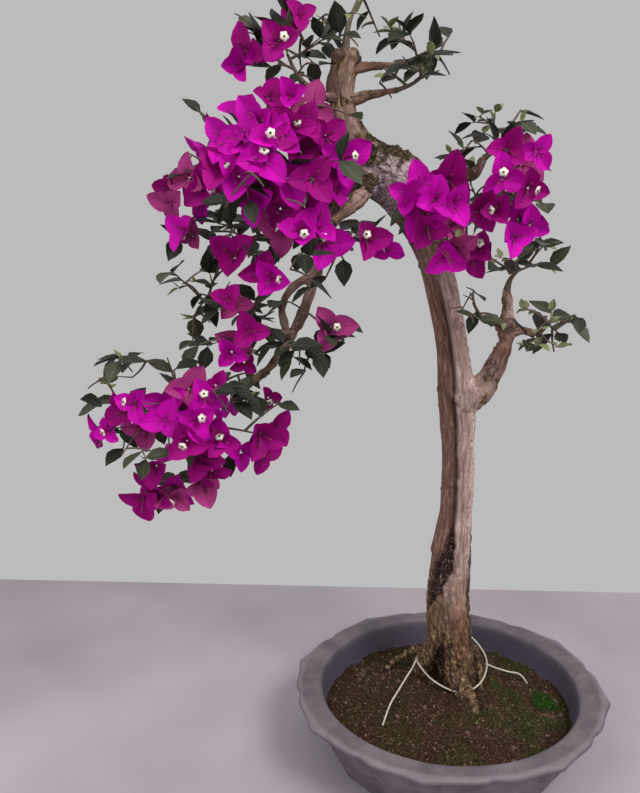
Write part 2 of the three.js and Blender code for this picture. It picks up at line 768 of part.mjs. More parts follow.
function growMass(mass, carrier) {
  const random = randomSource(mass.seed);
  const heart = vector(mass.spaces[0].at);
  const limb = mass.from === "trunk" ? TRUNK : BOUGHS[mass.from];
  const limbTip = limb[limb.length - 1];
  const route = [mass.foot ?? limbTip.at, ...mass.stem].map(vector);
  const stem = new THREE.CatmullRomCurve3(route).getPoints(STEM_SEGMENTS);
  const stemRadius = mass.foot ? STEM_FOOT : Math.min(limbTip.radius, STEM_FOOT_MOST);
  const solids = [twigShape(stem, stemRadius, STEM_TIP)];
  const joints = stem.slice(2, -1);
  const taken = [];
  const bloomsAt = [];

  const fits = (shape) => keepsToSpace(mass, shape.points.slice(1))
    && clearOfLimbs(shape.points, shape.triangles);

  const addLeaves = (path, length) => {
    const count = Math.floor(length / INTERNODE) + 1;
    for (let leaf = 0; leaf < count; leaf += 1) {
      const place = (path.length - 1) * (1 - (leaf * INTERNODE + 3) / Math.max(length, INTERNODE));
      const turn = leaf * GOLDEN_ANGLE + random() * 1.2;
      const scale = 0.8 + 0.35 * random();
      if (place <= 0.2) continue;
      const index = Math.min(Math.floor(place), path.length - 2);
      const base = path[index].clone().lerp(path[index + 1], place - index);
      const along = path[index + 1].clone().sub(path[index]).normalize();
      const out = perpendicularTo(along).applyAxisAngle(along, turn);
      const axis = out.clone().multiplyScalar(0.85).addScaledVector(along, 0.5).normalize();
      const up = new THREE.Vector3(0, -0.35, 1).addScaledVector(out, 0.3);
      const middle = base.clone().addScaledVector(axis, LEAF.length * scale * 0.5);
      if (taken.some((other) => other.distanceTo(middle) < LEAF_SPACING)) continue;
      if (bloomsAt.some((bloom) => bloom.distanceTo(middle) < LEAF_TO_BLOOM)) continue;
      const size = { ...LEAF, length: LEAF.length * scale, width: LEAF.width * scale };
      const shape = leafShape(base, axis, up, size);
      if (!fits(shape)) continue;
      solids.push(solidFrom(shape.points, shape.triangles));
      taken.push(middle);
    }
  };

  const addBloom = (at, along) => {
    const outward = at.clone().sub(heart).divide(vector(mass.spaces[0].reach));
    for (let attempt = 0; attempt < BLOOM_ATTEMPTS; attempt += 1) {
      const face = outward.clone().add(new THREE.Vector3(random() - 0.5, -0.5, random() - 0.6)).normalize();
      face.addScaledVector(along, 0.35).normalize();
      const roll = random() * 2 * Math.PI;
      const scale = (0.85 + 0.25 * random()) * Math.pow(BLOOM_SHRINK, attempt);
      const size = { ...BRACT, length: BRACT.length * scale, width: BRACT.width * scale };
      const shape = bloomShape(at.clone().addScaledVector(face, -1), face, roll, size);
      if (fits(shape)) {
        solids.push(solidFrom(shape.points, shape.triangles));
        bloomsAt.push(at);
        return;
      }
    }
  };

  const mainTips = [
    ...mass.blooms.map((at) => ({ at: vector(at), bloom: true })),
    ...mass.shoots.map((at) => ({ at: vector(at), bloom: false })),
  ];
  const tips = [...mainTips, ...moreTips(mass, mainTips, random)];
  const fromStem = (tip) => Math.min(...joints.map((joint) => joint.distanceTo(tip.at)));
  const order = tips.map((tip) => ({ tip, near: fromStem(tip) })).sort((a, b) => a.near - b.near);
  for (const { tip } of order) {
    const root = joints.reduce(
      (best, joint) => (joint.distanceTo(tip.at) < best.distanceTo(tip.at) ? joint : best));
    const length = root.distanceTo(tip.at);
    const lift = new THREE.Vector3(random() - 0.5, random() - 0.5, 0.6 * random())
      .multiplyScalar(length * 0.3);
    const path = arcBetween(root, tip.at, lift, length > LONG_SHOOT ? 3 : 2);
    const reaches = path.slice(1).every((point) => depthInMass(mass, point) < 1);
    const blocked = limbBalls.some((ball) => path.slice(1).some(
      (point, index) => distanceToSegment(ball.at, path[index], point) < ball.radius + TWIG.base + GAP));
    if (!reaches || blocked) continue;
    solids.push(twigShape(path, TWIG.base, TWIG.tip));
    joints.push(...path.slice(1, -1));
    if (tip.bloom) addBloom(tip.at, path[path.length - 1].clone().sub(path[path.length - 2]).normalize());
    addLeaves(path, length);
  }
  return mainBody(wasm.Manifold.union(solids).subtract(carrier).simplify(SLIVER));
}

function distanceToSegment(point, from, to) {
  const nearest = new THREE.Line3(from, to).closestPointToPoint(point, true, new THREE.Vector3());
  return nearest.distanceTo(point);
}

// ---- the whole plant ----

const bonsai = new THREE.Group();
bonsai.add(meshFrom("pot", makePot(), COLOURS.pot, 0.85));
bonsai.add(meshFrom("soil", makeSoil(), COLOURS.soil, 1));
const limbs = makeLimbs();
for (const [name, solid] of Object.entries(limbs.solids)) {
  bonsai.add(meshFrom(name, solid, name === "trunk" ? COLOURS.trunk : COLOURS.bough, 0.9));
}
for (const [name, mass] of Object.entries(MASSES)) {
  bonsai.add(meshFrom(name, growMass(mass, limbs.grown[mass.from]), COLOURS.foliage, 0.8));
}

export default bonsai;
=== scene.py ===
# A bougainvillea bonsai, trained as a leaning semi-cascade, in its oval clay pot.
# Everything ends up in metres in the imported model's frame; the sizes below are millimetres.

import json
import math

import bmesh
import bpy
import numpy as np
from mathutils import Matrix, Vector, geometry, kdtree, noise

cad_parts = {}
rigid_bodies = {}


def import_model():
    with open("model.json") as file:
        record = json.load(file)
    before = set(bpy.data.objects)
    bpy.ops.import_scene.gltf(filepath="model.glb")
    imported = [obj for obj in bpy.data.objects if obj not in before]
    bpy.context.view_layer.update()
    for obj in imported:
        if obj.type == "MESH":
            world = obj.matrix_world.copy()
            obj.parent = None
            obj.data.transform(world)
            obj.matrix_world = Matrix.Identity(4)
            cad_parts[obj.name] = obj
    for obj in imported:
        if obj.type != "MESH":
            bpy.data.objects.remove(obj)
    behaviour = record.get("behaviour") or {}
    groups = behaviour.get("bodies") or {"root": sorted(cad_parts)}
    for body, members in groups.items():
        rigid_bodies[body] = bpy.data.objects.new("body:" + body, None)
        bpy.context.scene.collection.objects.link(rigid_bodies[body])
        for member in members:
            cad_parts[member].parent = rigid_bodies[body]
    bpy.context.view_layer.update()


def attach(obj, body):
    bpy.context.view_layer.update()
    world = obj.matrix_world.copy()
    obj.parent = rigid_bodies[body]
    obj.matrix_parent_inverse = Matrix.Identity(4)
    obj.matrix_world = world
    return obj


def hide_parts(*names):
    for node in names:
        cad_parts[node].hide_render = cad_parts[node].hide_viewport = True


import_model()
mm = 0.001


# camera, light and table

cameraSet = {"at": (-190.6, -528.0, 461.0), "heading": (0.1197, 0.9928), "pitch": -11.225, "lens": 28.15}


def show(thing):
    bpy.context.scene.collection.objects.link(thing)
    return thing


def makeCamera():
    data = bpy.data.cameras.new("camera")
    data.lens = cameraSet["lens"]
    data.sensor_width = 36
    camera = show(bpy.data.objects.new("camera", data))
    turn = math.atan2(cameraSet["heading"][1], cameraSet["heading"][0]) - math.pi / 2
    camera.location = Vector(cameraSet["at"]) * mm
    camera.rotation_euler = (math.radians(90 + cameraSet["pitch"]), 0, turn)
    bpy.context.scene.camera = camera


makeCamera()
bpy.context.scene.view_settings.view_transform = "Standard"  # leaves the magenta as strong as it is


def linear(hexColour):
    channels = [int(hexColour[place:place + 2], 16) / 255 for place in (1, 3, 5)]
    return (*[c / 12.92 if c <= 0.04045 else ((c + 0.055) / 1.055) ** 2.4 for c in channels], 1)


def perMetre(size):  # texture scale for a pattern of this size in millimetres
    return 1 / (size * mm)


def addNode(tree, kind, sockets=None, stops=(), **settings):
    made = tree.nodes.new(kind)
    for name, value in settings.items():
        setattr(made, name, value)
    for name, value in (sockets or {}).items():
        if isinstance(value, bpy.types.NodeSocket):
            tree.links.new(value, made.inputs[name])
        else:
            made.inputs[name].default_value = value
    if stops:
        ramp = made.color_ramp.elements
        while len(ramp) < len(stops):
            ramp.new(1)
        for element, (place, colour) in zip(ramp, stops):
            element.position = place
            element.color = linear(colour)
    return made


def startMaterial(name, finish):
    material = bpy.data.materials.new(name)
    material.use_nodes = True
    for socket, value in finish.items():
        material.node_tree.nodes["Principled BSDF"].inputs[socket].default_value = value
    return material, material.node_tree


def wired(material, colour, bump=None):  # the finished material, with its colour and its relief
    shader = material.node_tree.nodes["Principled BSDF"]
    material.node_tree.links.new(colour, shader.inputs["Base Color"])
    if bump:
        material.node_tree.links.new(bump.outputs["Normal"], shader.inputs["Normal"])
    return material


def looseShape(name, points, faces):
    mesh = bpy.data.meshes.new(name)
    mesh.from_pydata(points, [], faces)
    return bpy.data.objects.new(name, mesh)


def addPiece(name, points, faces, smooth=True):  # points in millimetres
    piece = looseShape(name, (np.asarray(points, float) * mm).tolist(), [list(face) for face in faces])
    piece.data.validate()
    if smooth:
        piece.data.shade_smooth()
    return show(piece)


def setAttribute(mesh, name, values, kind="FLOAT"):
    attribute = mesh.attributes.new(name, kind, "POINT")
    field = "vector" if kind == "FLOAT_VECTOR" else "value"
    attribute.data.foreach_set(field, np.ravel(values).astype(np.int32 if kind == "INT" else np.float32))


def settle(piece, nodes=(), finish=None):
    if finish:
        piece.data.materials.clear()
        piece.data.materials.append(finish)
    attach(piece, "root")
    if nodes:
        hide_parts(*nodes)


def smoothstep(value, low, high):
    share = np.clip((np.asarray(value, float) - low) / (high - low), 0, 1)
    return share * share * (3 - 2 * share)


def noiseAt(points, size, seed=0):  # signed, with lumps of the given size
    shift = np.array((17.3, 5.1, -9.7)) * seed
    return np.array([noise.noise(p) for p in np.asarray(points) / size + shift])


stageSet = {
    "room": "#c4c3c3",
    "roomLight": 0.92,
    "backEdge": ((-574, 405), (320, 258)),  # where the table ends behind the pot
    "backWide": 2.2,
    "near": 1800,
    "softboxes": [  # name, place, aim, side, watts
        ("windowLight", (500, -800, 1300), (-60, 0, 380), 600, 13),
        ("skyLight", (-600, -300, 1500), (-100, 0, 350), 900, 5),
        ("bounceLight", (-1000, -800, 500), (-60, 0, 380), 800, 3),
    ],
}


def pressedCloth():  # plain pale table cover
    material, tree = startMaterial("pressedCloth", {"Roughness": 0.95, "Specular IOR Level": 0.2})
    place = addNode(tree, "ShaderNodeTexCoord")
    cloud = addNode(tree, "ShaderNodeTexNoise", {"Vector": place.outputs["Object"], "Scale": perMetre(180)})
    tone = addNode(tree, "ShaderNodeValToRGB", {"Fac": cloud.outputs["Fac"]},
                   stops=((0.3, "#a79ca6"), (0.7, "#b7adb6")))
    return wired(material, tone.outputs["Color"])


def makeStage():
    left, right = (Vector((*corner, 0)) for corner in stageSet["backEdge"])
    along = (right - left).normalized()
    out = Vector((along.y, -along.x, 0))
    middle = (left + right) / 2
    half = (right - left).length * stageSet["backWide"] / 2
    corners = [middle - along * half, middle + along * half]
    corners += [corner + out * stageSet["near"] for corner in reversed(corners)]
    table = addPiece("table", [corner - Vector((0, 0, 0.2)) for corner in reversed(corners)], [(0, 1, 2, 3)])
    table.data.materials.append(pressedCloth())
    world = bpy.data.worlds.new("room")
    world.use_nodes = True
    background = world.node_tree.nodes["Background"]
    background.inputs["Color"].default_value = linear(stageSet["room"])
    background.inputs["Strength"].default_value = stageSet["roomLight"]
    bpy.context.scene.world = world
    for name, place, aim, side, watts in stageSet["softboxes"]:
        data = bpy.data.lights.new(name, "AREA")
        data.size = side * mm
        data.energy = watts
        lamp = show(bpy.data.objects.new(name, data))
        lamp.location = Vector(place) * mm
        lamp.rotation_euler = (Vector(aim) - Vector(place)).to_track_quat("-Z", "Y").to_euler()


makeStage()
print("stage ready")


# the pot

potSet = {
    "height": 68, "rimHalf": (148, 125), "openingHalf": (124, 107), "flange": 7, "footInset": 14, "wall": 7,
    "lobes": 8, "cuspHeight": 0.055, "cuspWidth": 0.13, "lobeSwell": 0.028, "notchDepth": 0.024,
    "notchWidth": 0.06, "wallLobes": 0.7,
    "swelling": ((16, 12), (9.5, 24), (4, 36), (1, 48)),  # how far in the wall still is, at these heights
    "steps": 336, "profileStep": 1.5, "rounding": 3,
    "handmade": 0.55, "handmadeLump": 42,
    "clay": ("#524950", "#655b62", "#796f74"), "limeBloom": "#8b8286", "insideDarkClay": "#4f4558",
    "edgeWear": 0.45, "insideDarkShare": 0.85,
}


def lobeFactor(angle):
    lobe = 2 * math.pi / potSet["lobes"]
    fromCusp = np.abs((angle / lobe) % 1 - 0.5) * lobe
    cusp = potSet["cuspHeight"] * np.exp(-(fromCusp / potSet["cuspWidth"]) ** 1.3)
    swell = potSet["lobeSwell"] * (1 - np.cos(2 * math.pi * fromCusp / lobe)) * 0.5
    notch = potSet["notchDepth"] * np.exp(-((lobe / 2 - fromCusp) / potSet["notchWidth"]) ** 2)
    return 0.985 + cusp + swell - notch


def ovalRing(half, height, lobed=0.0, middle=(0, 0), steps=None):
    angle = np.linspace(0, 2 * math.pi, steps or potSet["steps"], endpoint=False)
    factor = 1 + lobed * (lobeFactor(angle) - 1)
    x = middle[0] + half[0] * factor * np.cos(angle)
    y = middle[1] + half[1] * factor * np.sin(angle)
    return np.stack([x, y, np.full_like(angle, height)], axis=1)


def rimRing(inset, height):
    return ovalRing([half - inset for half in potSet["rimHalf"]], height, 1)


def wallRing(outset, height, lobed=0.0):
    return ovalRing([half + outset for half in potSet["openingHalf"]], height, lobed)


def skinRings(rings):  # closed skin over a stack of rings, with a fan at both ends
    sides = len(rings[0])
    points = np.concatenate([*rings, [rings[0].mean(axis=0)], [rings[-1].mean(axis=0)]])
    faces = []
    for row in range(len(rings) - 1):
        for side in range(sides):
            here, beside = row * sides + side, row * sides + (side + 1) % sides
            faces.append((here, beside, beside + sides, here + sides))
    first, last = len(points) - 2, len(points) - 1
    end = (len(rings) - 1) * sides
    for side in range(sides):
        beside = (side + 1) % sides
        faces.append((first, beside, side))
        faces.append((last, end + side, end + beside))
    return points, faces


def unglazedClay():  # fired purple stoneware, unglazed: matt, faintly burnished, bloomed where water dried
    material, tree = startMaterial("unglazedClay", {"Roughness": 0.62, "IOR": 1.5})
    place = addNode(tree, "ShaderNodeTexCoord").outputs["Object"]
    cloud = addNode(tree, "ShaderNodeTexNoise",
                    {"Vector": place, "Scale": perMetre(46), "Detail": 5, "Roughness": 0.62})
    body = addNode(tree, "ShaderNodeValToRGB", {"Fac": cloud.outputs["Fac"]},
                   stops=tuple(zip((0.32, 0.5, 0.7), potSet["clay"])))
    bloomPatch = addNode(tree, "ShaderNodeTexNoise",
                         {"Vector": place, "Scale": perMetre(15), "Detail": 6, "Roughness": 0.7})
    bloomShare = addNode(tree, "ShaderNodeMapRange", {"Value": bloomPatch.outputs["Fac"],
                         "From Min": 0.52, "From Max": 0.74, "To Min": 0.0, "To Max": 0.42})
    wear = addNode(tree, "ShaderNodeAttribute", attribute_name="wear")
    lifted = addNode(tree, "ShaderNodeMath", {0: bloomShare.outputs["Result"], 1: wear.outputs["Fac"]},
                     operation="ADD", use_clamp=True)
    bloomed = addNode(tree, "ShaderNodeMix", {"Factor": lifted.outputs[0], 6: body.outputs["Color"],
                      7: linear(potSet["limeBloom"])}, data_type="RGBA")
    # the inside of the pot is darker, most low down towards the soil
    insideDark = addNode(tree, "ShaderNodeAttribute", attribute_name="insideDark")
    insideDarkened = addNode(tree, "ShaderNodeMix", {"Factor": insideDark.outputs["Fac"], 6: bloomed.outputs[2],
                       7: linear(potSet["insideDarkClay"])}, data_type="RGBA")
    grit = addNode(tree, "ShaderNodeTexNoise",
                   {"Vector": place, "Scale": perMetre(1.1), "Detail": 4})  # sand grain, drawn coarse
    scrape = addNode(tree, "ShaderNodeTexNoise", {"Vector": place, "Scale": perMetre(9), "Detail": 3})
    relief = addNode(tree, "ShaderNodeMath", {0: scrape.outputs["Fac"], 1: 2.2, 2: grit.outputs["Fac"]},
                     operation="MULTIPLY_ADD")
    bump = addNode(tree, "ShaderNodeBump", {"Height": relief.outputs[0], "Strength": 0.35, "Distance": 0.6 * mm})
    return wired(material, insideDarkened.outputs[2], bump)


def makePot():
    top, wall, lobes = potSet["height"], potSet["wall"], potSet["wallLobes"]
    under = top - potSet["flange"]
    stations = [  # up the outside, over the flange and down the inside
        wallRing(-potSet["footInset"] - 2, 0, lobes),
        wallRing(-potSet["footInset"], 0.4, lobes),
        *[wallRing(wall - inset, height, lobes) for inset, height in potSet["swelling"]],
        wallRing(wall, under - 1, lobes),
        rimRing(4, under),
        rimRing(0, under + 1.6),
        rimRing(0.2, top - 1.6),
        rimRing(4, top - 0.1),
        rimRing(10, top - 0.6),
        wallRing(5, top - 0.9, 0.35),
        wallRing(1.6, top - 1.2),
        wallRing(0, top - 4),
        wallRing(-4, 41),
        wallRing(-7, 34),
    ]
    rings = [stations[0]]
    for before, after in zip(stations, stations[1:]):
        spans = max(1, round(np.linalg.norm(after - before, axis=1).mean() / potSet["profileStep"]))
        rings += [before + (after - before) * step / spans for step in range(1, spans + 1)]
    for _ in range(potSet["rounding"]):
        middle = [(low + 2 * here + high) / 4 for low, here, high in zip(rings, rings[1:], rings[2:])]
        rings = [rings[0], *middle, rings[-1]]
    floor = rings[-1] * (0.5, 0.5, 1)
    points, faces = skinRings([*rings, floor])
    height = points[:, 2].copy()
    sway = noiseAt(points, potSet["handmadeLump"], 2) * potSet["handmade"] * height / top
    outward = points[:, :2] / np.linalg.norm(points[:, :2] + 1e-6, axis=1)[:, None]
    points[:, :2] += outward * sway[:, None]
    points[:, 2] += noiseAt(points, potSet["handmadeLump"], 5) * potSet["handmade"] * smoothstep(height, 50, 60)
    pot = addPiece("pottery", points, faces)
    across, deep, height = points.T
    inside = (np.hypot(across / potSet["openingHalf"][0], deep / potSet["openingHalf"][1]) < 1.012) & (height > 30)
    rimReach = np.hypot(across / potSet["rimHalf"][0], deep / potSet["rimHalf"][1])
    edge = smoothstep(rimReach, 0.965, 0.985) * smoothstep(height, 65, 67.5)
    setAttribute(pot.data, "wear", potSet["edgeWear"] * edge)
    # darker inside the pot, fading towards the rim
    setAttribute(pot.data, "insideDark", inside * potSet["insideDarkShare"] * (1 - 0.5 * smoothstep(height, 55, 66)))
    settle(pot, ["pot"], unglazedClay())


makePot()
print("pot done")


# limbs: stations down each centreline with the radius there

trunkStations = [
    ((18, 22, 50.3), 17), ((13, 20.5, 80), 18.8), ((5, 18, 116), 21.5), ((3, 18, 180), 20), ((8, 20, 236), 15.5),
    ((8, 21, 290), 15), ((4, 21, 348), 17), ((-4, 19, 401), 14), ((-16, 18, 450), 14), ((-29, 18, 490), 16),
    ((-54, 19, 535), 23.5), ((-79, 20, 549), 22), ((-98, 18, 567), 17), ((-105, 17, 590), 13.5),
    ((-108, 14, 614), 12), ((-105, 12, 632), 12.5), ((-105, 11, 639), 9),
]
boughStations = {
    "bough_right_upper": [((-44, 16, 524), 10), ((-29, 7, 535), 6.5), ((-10, 1, 541), 5.2), ((2, -5, 544), 5),
                          ((8, -8, 554), 3.6)],
    "bough_right_low": [((6, 20, 344), 14), ((25, 12, 359), 12), ((38, 8, 386), 7.8), ((43, 7, 402), 7.2),
                        ((43, 7, 416), 9), ((43, 7, 430), 5), ((41, 7, 446), 3.8)],
    "bough_right_fork": [((46, 6, 409), 4.6), ((57, 1, 411), 4), ((66, -2, 407), 3.4)],
    "bough_right_inner": [((40, 7, 415), 3.6), ((30, 10, 417), 3), ((20, 8, 421), 2.2)],
    "bough_cascade": [((-82, 22, 549), 12), ((-104, 36, 533), 8.4), ((-122, 34, 481), 6), ((-137, 26, 432), 4.8),
                      ((-151, 21, 405), 4.4), ((-174, 13, 376), 3.7), ((-198, 10, 363), 3)],
    "bough_cascade_fork": [((-128, 30, 460), 4), ((-148, 26, 449), 3.4), ((-158, 22, 432), 3.2),
                           ((-155, 21, 415), 3.2), ((-151, 21, 404), 3.4)],
    "bough_cascade_spur": [((-147, 22, 409), 2.8), ((-164, 8, 412), 2.4), ((-178, 2, 418), 2)],
    "bough_shoulder": [((-84, 16, 553), 12), ((-104, 2, 546), 8.5), ((-126, -9, 540), 4.8)],
    "bough_shoulder_low": [((-78, 14, 543), 8), ((-96, -6, 521), 6), ((-118, -12, 501), 3.8)],
    "bough_back": [((-66, 22, 542), 9), ((-78, 42, 545), 5.5), ((-96, 58, 553), 3.4)],
    "bough_apex_right": [((-108, 13, 622), 4.8), ((-88, 12, 626), 3.4), ((-64, 14, 629), 2.4)],
    "bough_apex_low": [((-105, 14, 599), 6.2), ((-88, 3, 602), 3.7), ((-66, -8, 604), 2.1)],
    "bough_apex_left": [((-108, 14, 601), 4.6), ((-126, 6, 602), 2.8), ((-140, -1, 609), 2)],
}


def catmullRom(points, share):  # centripetal curve through the points
    last = len(points) - 1
    place = last * share
    index = min(math.floor(place), last - 1)
    weight = place - index
    before = points[index - 1] if index > 0 else 2 * points[0] - points[1]
    after = points[index + 2] if index + 2 <= last else 2 * points[last] - points[last - 1]
    start, end = points[index], points[index + 1]
    spans = [max((b - a).length, 1e-4) ** 0.5 for a, b in ((before, start), (start, end), (end, after))]
    leave = (start - before) / spans[0] - (end - before) / (spans[0] + spans[1]) + (end - start) / spans[1]
    arrive = (end - start) / spans[1] - (after - start) / (spans[1] + spans[2]) + (after - end) / spans[2]
    leave, arrive = leave * spans[1], arrive * spans[1]
    square, cube = weight ** 2, weight ** 3
    return (start * (2 * cube - 3 * square + 1) + end * (3 * square - 2 * cube)
            + leave * (cube - 2 * square + weight) + arrive * (cube - square))


def limbSamples(stations, step):  # places, directions and radii down a limb
    points = [Vector(at) for at, _ in stations]
    radii = [radius for _, radius in stations]
    count = math.ceil(sum((b - a).length for a, b in zip(points, points[1:])) / step)
    at, along, radius = [], [], []
    for number in range(count + 1):
        share = number / count
        low, high = max(share - 0.002, 0), min(share + 0.002, 1)
        at.append(catmullRom(points, share))
        along.append((catmullRom(points, high) - catmullRom(points, low)).normalized())
        place = share * (len(points) - 1)
        index = min(math.floor(place), len(points) - 2)
        blend = (place - index) ** 2 * (3 - 2 * (place - index))
        radius.append(radii[index] + (radii[index + 1] - radii[index]) * blend)
    return np.array(at), np.array(along), np.array(radius)


def acrossLimb(along):  # two directions square to the limb at every sample
    across = np.cross((0, 1, 0), along)
    across /= np.linalg.norm(across, axis=1)[:, None]
    return across, np.cross(along, across)


def loft(samples, sides, relief=None):
    at, along, radius = samples
    across, through = acrossLimb(along)
    angle = np.linspace(0, 2 * math.pi, sides, endpoint=False)
    reach = np.repeat(radius[:, None], sides, axis=1)
    if relief:
        reach = reach + relief(at[:, 2][:, None], angle[None, :], radius[:, None])
    points = (at[:, None, :] + across[:, None, :] * (reach * np.cos(angle))[:, :, None]
              + through[:, None, :] * (reach * np.sin(angle))[:, :, None])
    return skinRings(list(points))


barkSet = {
    "ringStep": 1.3, "trunkSides": 128, "boughSides": 40,
    "trunkVoxel": 1.14, "boughVoxel": 0.8,
    "groove": {"angles": ((60, -118), (230, -118), (420, -114), (520, -112)), "depth": 6.5, "width": 1.7,
               "valley": 1.8, "valleyWidth": 6.5, "low": 205, "high": 474},
    "rearGroove": {"angle": 84, "depth": 3, "width": 2.2, "fades": (430, 500)},
    "hollow": ((130, -188, 3), (143, -178, 20), (158, -163, 34), (173, -149, 46), (188, -129, 40), (200, -116, 25),
               (212, -118, 16), (221, -113, 8), (229, -111, 2)),  # height, middle and half width in degrees
    "hollowDepth": 6,
    "ledge": {"height": 191, "drop": 44, "angle": 178, "spread": 44, "depth": 3},
    "toes": [  # surface roots that run down into the soil
        [((12, 14, 70), 10), ((13, 3, 61), 9.5), ((16, -8, 55.5), 8.3), ((18.5, -19, 51), 7), ((19.5, -28, 46), 5)],
        [((0, 20, 94), 13), ((-8, 30, 78), 11.5), ((-12, 36, 66), 10), ((-14, 38.5, 54), 9), ((-15, 40, 46), 8)],
        [((20, 18, 84), 9), ((24, 15, 64), 9), ((27, 13, 47), 8)],
        [((27, 24, 92), 4), ((36, 24, 80), 3.6), ((41, 18, 66), 3.6), ((39, 10, 55), 3.5), ((36, 4, 47), 3)],
        [((10, 36, 84), 9), ((9, 46, 64), 7), ((8, 55, 47), 4)],
        [((-16, 44, 76), 4), ((-30, 50, 64), 3.2), ((-42, 52, 55), 2.4), ((-50, 50, 47), 1.8)],
    ],
    "clefts": (((-5, 4, 101), (-5, 22, 52), 10), ((32, 18, 84), (35, 14, 54), 4)),  # gaps between the roots, sunk in and painted near black as painted shade
    "lumpAt": (-68, 0, 538),
    "mossAt": ((-66, 24, 566, 33, 0), (-92, 8, 552, 20, 0.3), (-90, -2, 536, 13, 0.3)),  # place, reach, steepness
    "sunk": 2.3,  # how far the foot goes on below its first station
    "collar": 1.22, "collarLength": 24,
    "offBoughs": ("bough_right_fork", "bough_right_inner", "bough_cascade_fork", "bough_cascade_spur"),
    "zones": {  # heights, or degrees round the stem, over which a kind of bark comes or goes
        "strandEnd": (440, 485), "foot": (120, 182), "neck": (455, 500), "tip": (560, 640),
        "paleSide": (-66, -56), "paleBack": (20, 50), "paleFoot": (172, 220), "paleTop": (425, 470),
        "paleFront": (-36, 6), "flankSide": (-52, -40), "flankBack": (25, 50), "flankFoot": (80, 100),
        "flankTop": (190, 235), "warmFoot": (70, 96), "warmTop": (145, 180), "mossyFoot": (56, 92),
        "waistFoot": (575, 600), "waistTop": (622, 634),
    },
    "collarsAbove": 250, "collarReach": (1.15, 1.5), "lumpReach": (24, 34),
    "knots": ((3, 90, 2.2), (7, 22, 4.2)),  # seed, count and size
    "pattern": {"fibre": (0.14, 2.6, 5, 0.65), "plate": (0.26, 3.7, 6, 0.72),
                "speck": (0.6, 1.9, 3, 0.6)},  # stretch along the grain, size, detail, roughness
}


def angleFrom(angle, degrees):  # signed, in radians
    turn = angle - np.radians(degrees)
    return np.arctan2(np.sin(turn), np.cos(turn))


def nearAngle(angle, degrees, spread):
    return np.exp(-(angleFrom(angle, degrees) / np.radians(spread)) ** 2)


def grooveAngle(height):
    heights, angles = zip(*barkSet["groove"]["angles"])
    return np.interp(height, heights, angles) + 2.4 * np.sin(height / 19) + 1.4 * np.sin(height / 7.1)


def alongGroove(height, comes, goes):  # 1 where the groove runs, fading over these lengths at its ends
    low, high = barkSet["groove"]["low"], barkSet["groove"]["high"]
    return smoothstep(height, low, low + comes) * (1 - smoothstep(height, high - goes, high))


def hollowShare(height, angle):  # 1 inside the rotted hollow low on the front
    heights, middles, halves = zip(*barkSet["hollow"])
    half = np.interp(height, heights, halves) * ((height > heights[0]) & (height < heights[-1]))
    ragged = half * (1 + 0.22 * np.sin(height / 2.7) * np.sin(height / 6.3 + 1))
    away = np.degrees(np.abs(angleFrom(angle, np.interp(height, heights, middles))))
    return 1 - smoothstep(away / np.maximum(ragged, 0.1), 0.72, 1.05)


def cleftShare(points):  # 1 inside the gaps between the roots
    share = np.zeros(len(points))
    for top, foot, reach in barkSet["clefts"]:
        top, foot = np.array(top), np.array(foot)
        line = foot - top
        place = np.clip((points - top) @ line / (line @ line), 0, 1)
        away = np.linalg.norm(points - top - place[:, None] * line, axis=1)
        share = np.maximum(share, 1 - smoothstep(away / (reach * (0.35 + 0.65 * place)), 0.6, 1.15))
    return share


def trunkRelief(height, angle, radius):
    groove, rear, ledge = barkSet["groove"], barkSet["rearGroove"], barkSet["ledge"]
    inGroove, middle = alongGroove(height, 25, 50), grooveAngle(height)
    relief = -inGroove * groove["depth"] * nearAngle(angle, middle, np.degrees(groove["width"] / radius))
    valleyWide = np.degrees(groove["valleyWidth"] / radius)
    relief = relief - inGroove * groove["valley"] * nearAngle(angle, middle, valleyWide)
    inRear = 1 - smoothstep(height, *rear["fades"])
    relief = relief - rear["depth"] * inRear * nearAngle(angle, rear["angle"], np.degrees(rear["width"] / radius))
    relief = relief - barkSet["hollowDepth"] * hollowShare(height, angle)
    under = smoothstep(height, ledge["height"] - ledge["drop"], ledge["height"] - 4) * (height < ledge["height"])
    return relief - ledge["depth"] * under * nearAngle(angle, ledge["angle"], ledge["spread"])


def remeshed(name, parts, voxel):  # one closed skin over overlapping lofts
    points, faces, start = [], [], 0
    for partPoints, partFaces in parts:
        points.append(partPoints)
        faces += [tuple(index + start for index in face) for face in partFaces]
        start += len(partPoints)
    piece = addPiece(name, np.concatenate(points), faces)
    skin = piece.modifiers.new("skin", "REMESH")
    skin.mode = "VOXEL"
    skin.voxel_size = voxel * mm
    graph = bpy.context.evaluated_depsgraph_get()
    mesh = bpy.data.meshes.new_from_object(piece.evaluated_get(graph))
    piece.modifiers.clear()
    piece.data = mesh
    mesh.name = name
    return piece


def readRows(items, field):  # one row of three for every vertex
    flat = np.zeros(len(items) * 3)
    items.foreach_get(field, flat)
    return flat.reshape(-1, 3)


def limbPlace(points, limbs):  # for each point: limb, distance down it, angle round it, distance from it, radius
    tree = kdtree.KDTree(sum(len(at) for at, _, _ in limbs))
    facts = []
    for number, (at, along, radius) in enumerate(limbs):
        down = np.concatenate([[0], np.cumsum(np.linalg.norm(np.diff(at, axis=0), axis=1))])
        for index in range(len(at)):
            tree.insert(at[index], len(facts))
            facts.append((number, down[index], radius[index], *at[index], *along[index]))
    tree.balance()
    facts = np.array(facts)[[tree.find(point)[1] for point in points]]
    along = facts[:, 6:9]
    across, through = acrossLimb(along)
    away = points - facts[:, 3:6]
    x, y = (away * across).sum(axis=1), (away * through).sum(axis=1)
    down = facts[:, 1] + (away * along).sum(axis=1)
    return facts[:, 0].astype(int), down, np.arctan2(y, x), np.hypot(x, y), facts[:, 2]


def grainPlace(down, angle, distance):  # where the bark's grain runs along every limb
    return np.stack([distance * np.cos(angle), distance * np.sin(angle), down], axis=1)


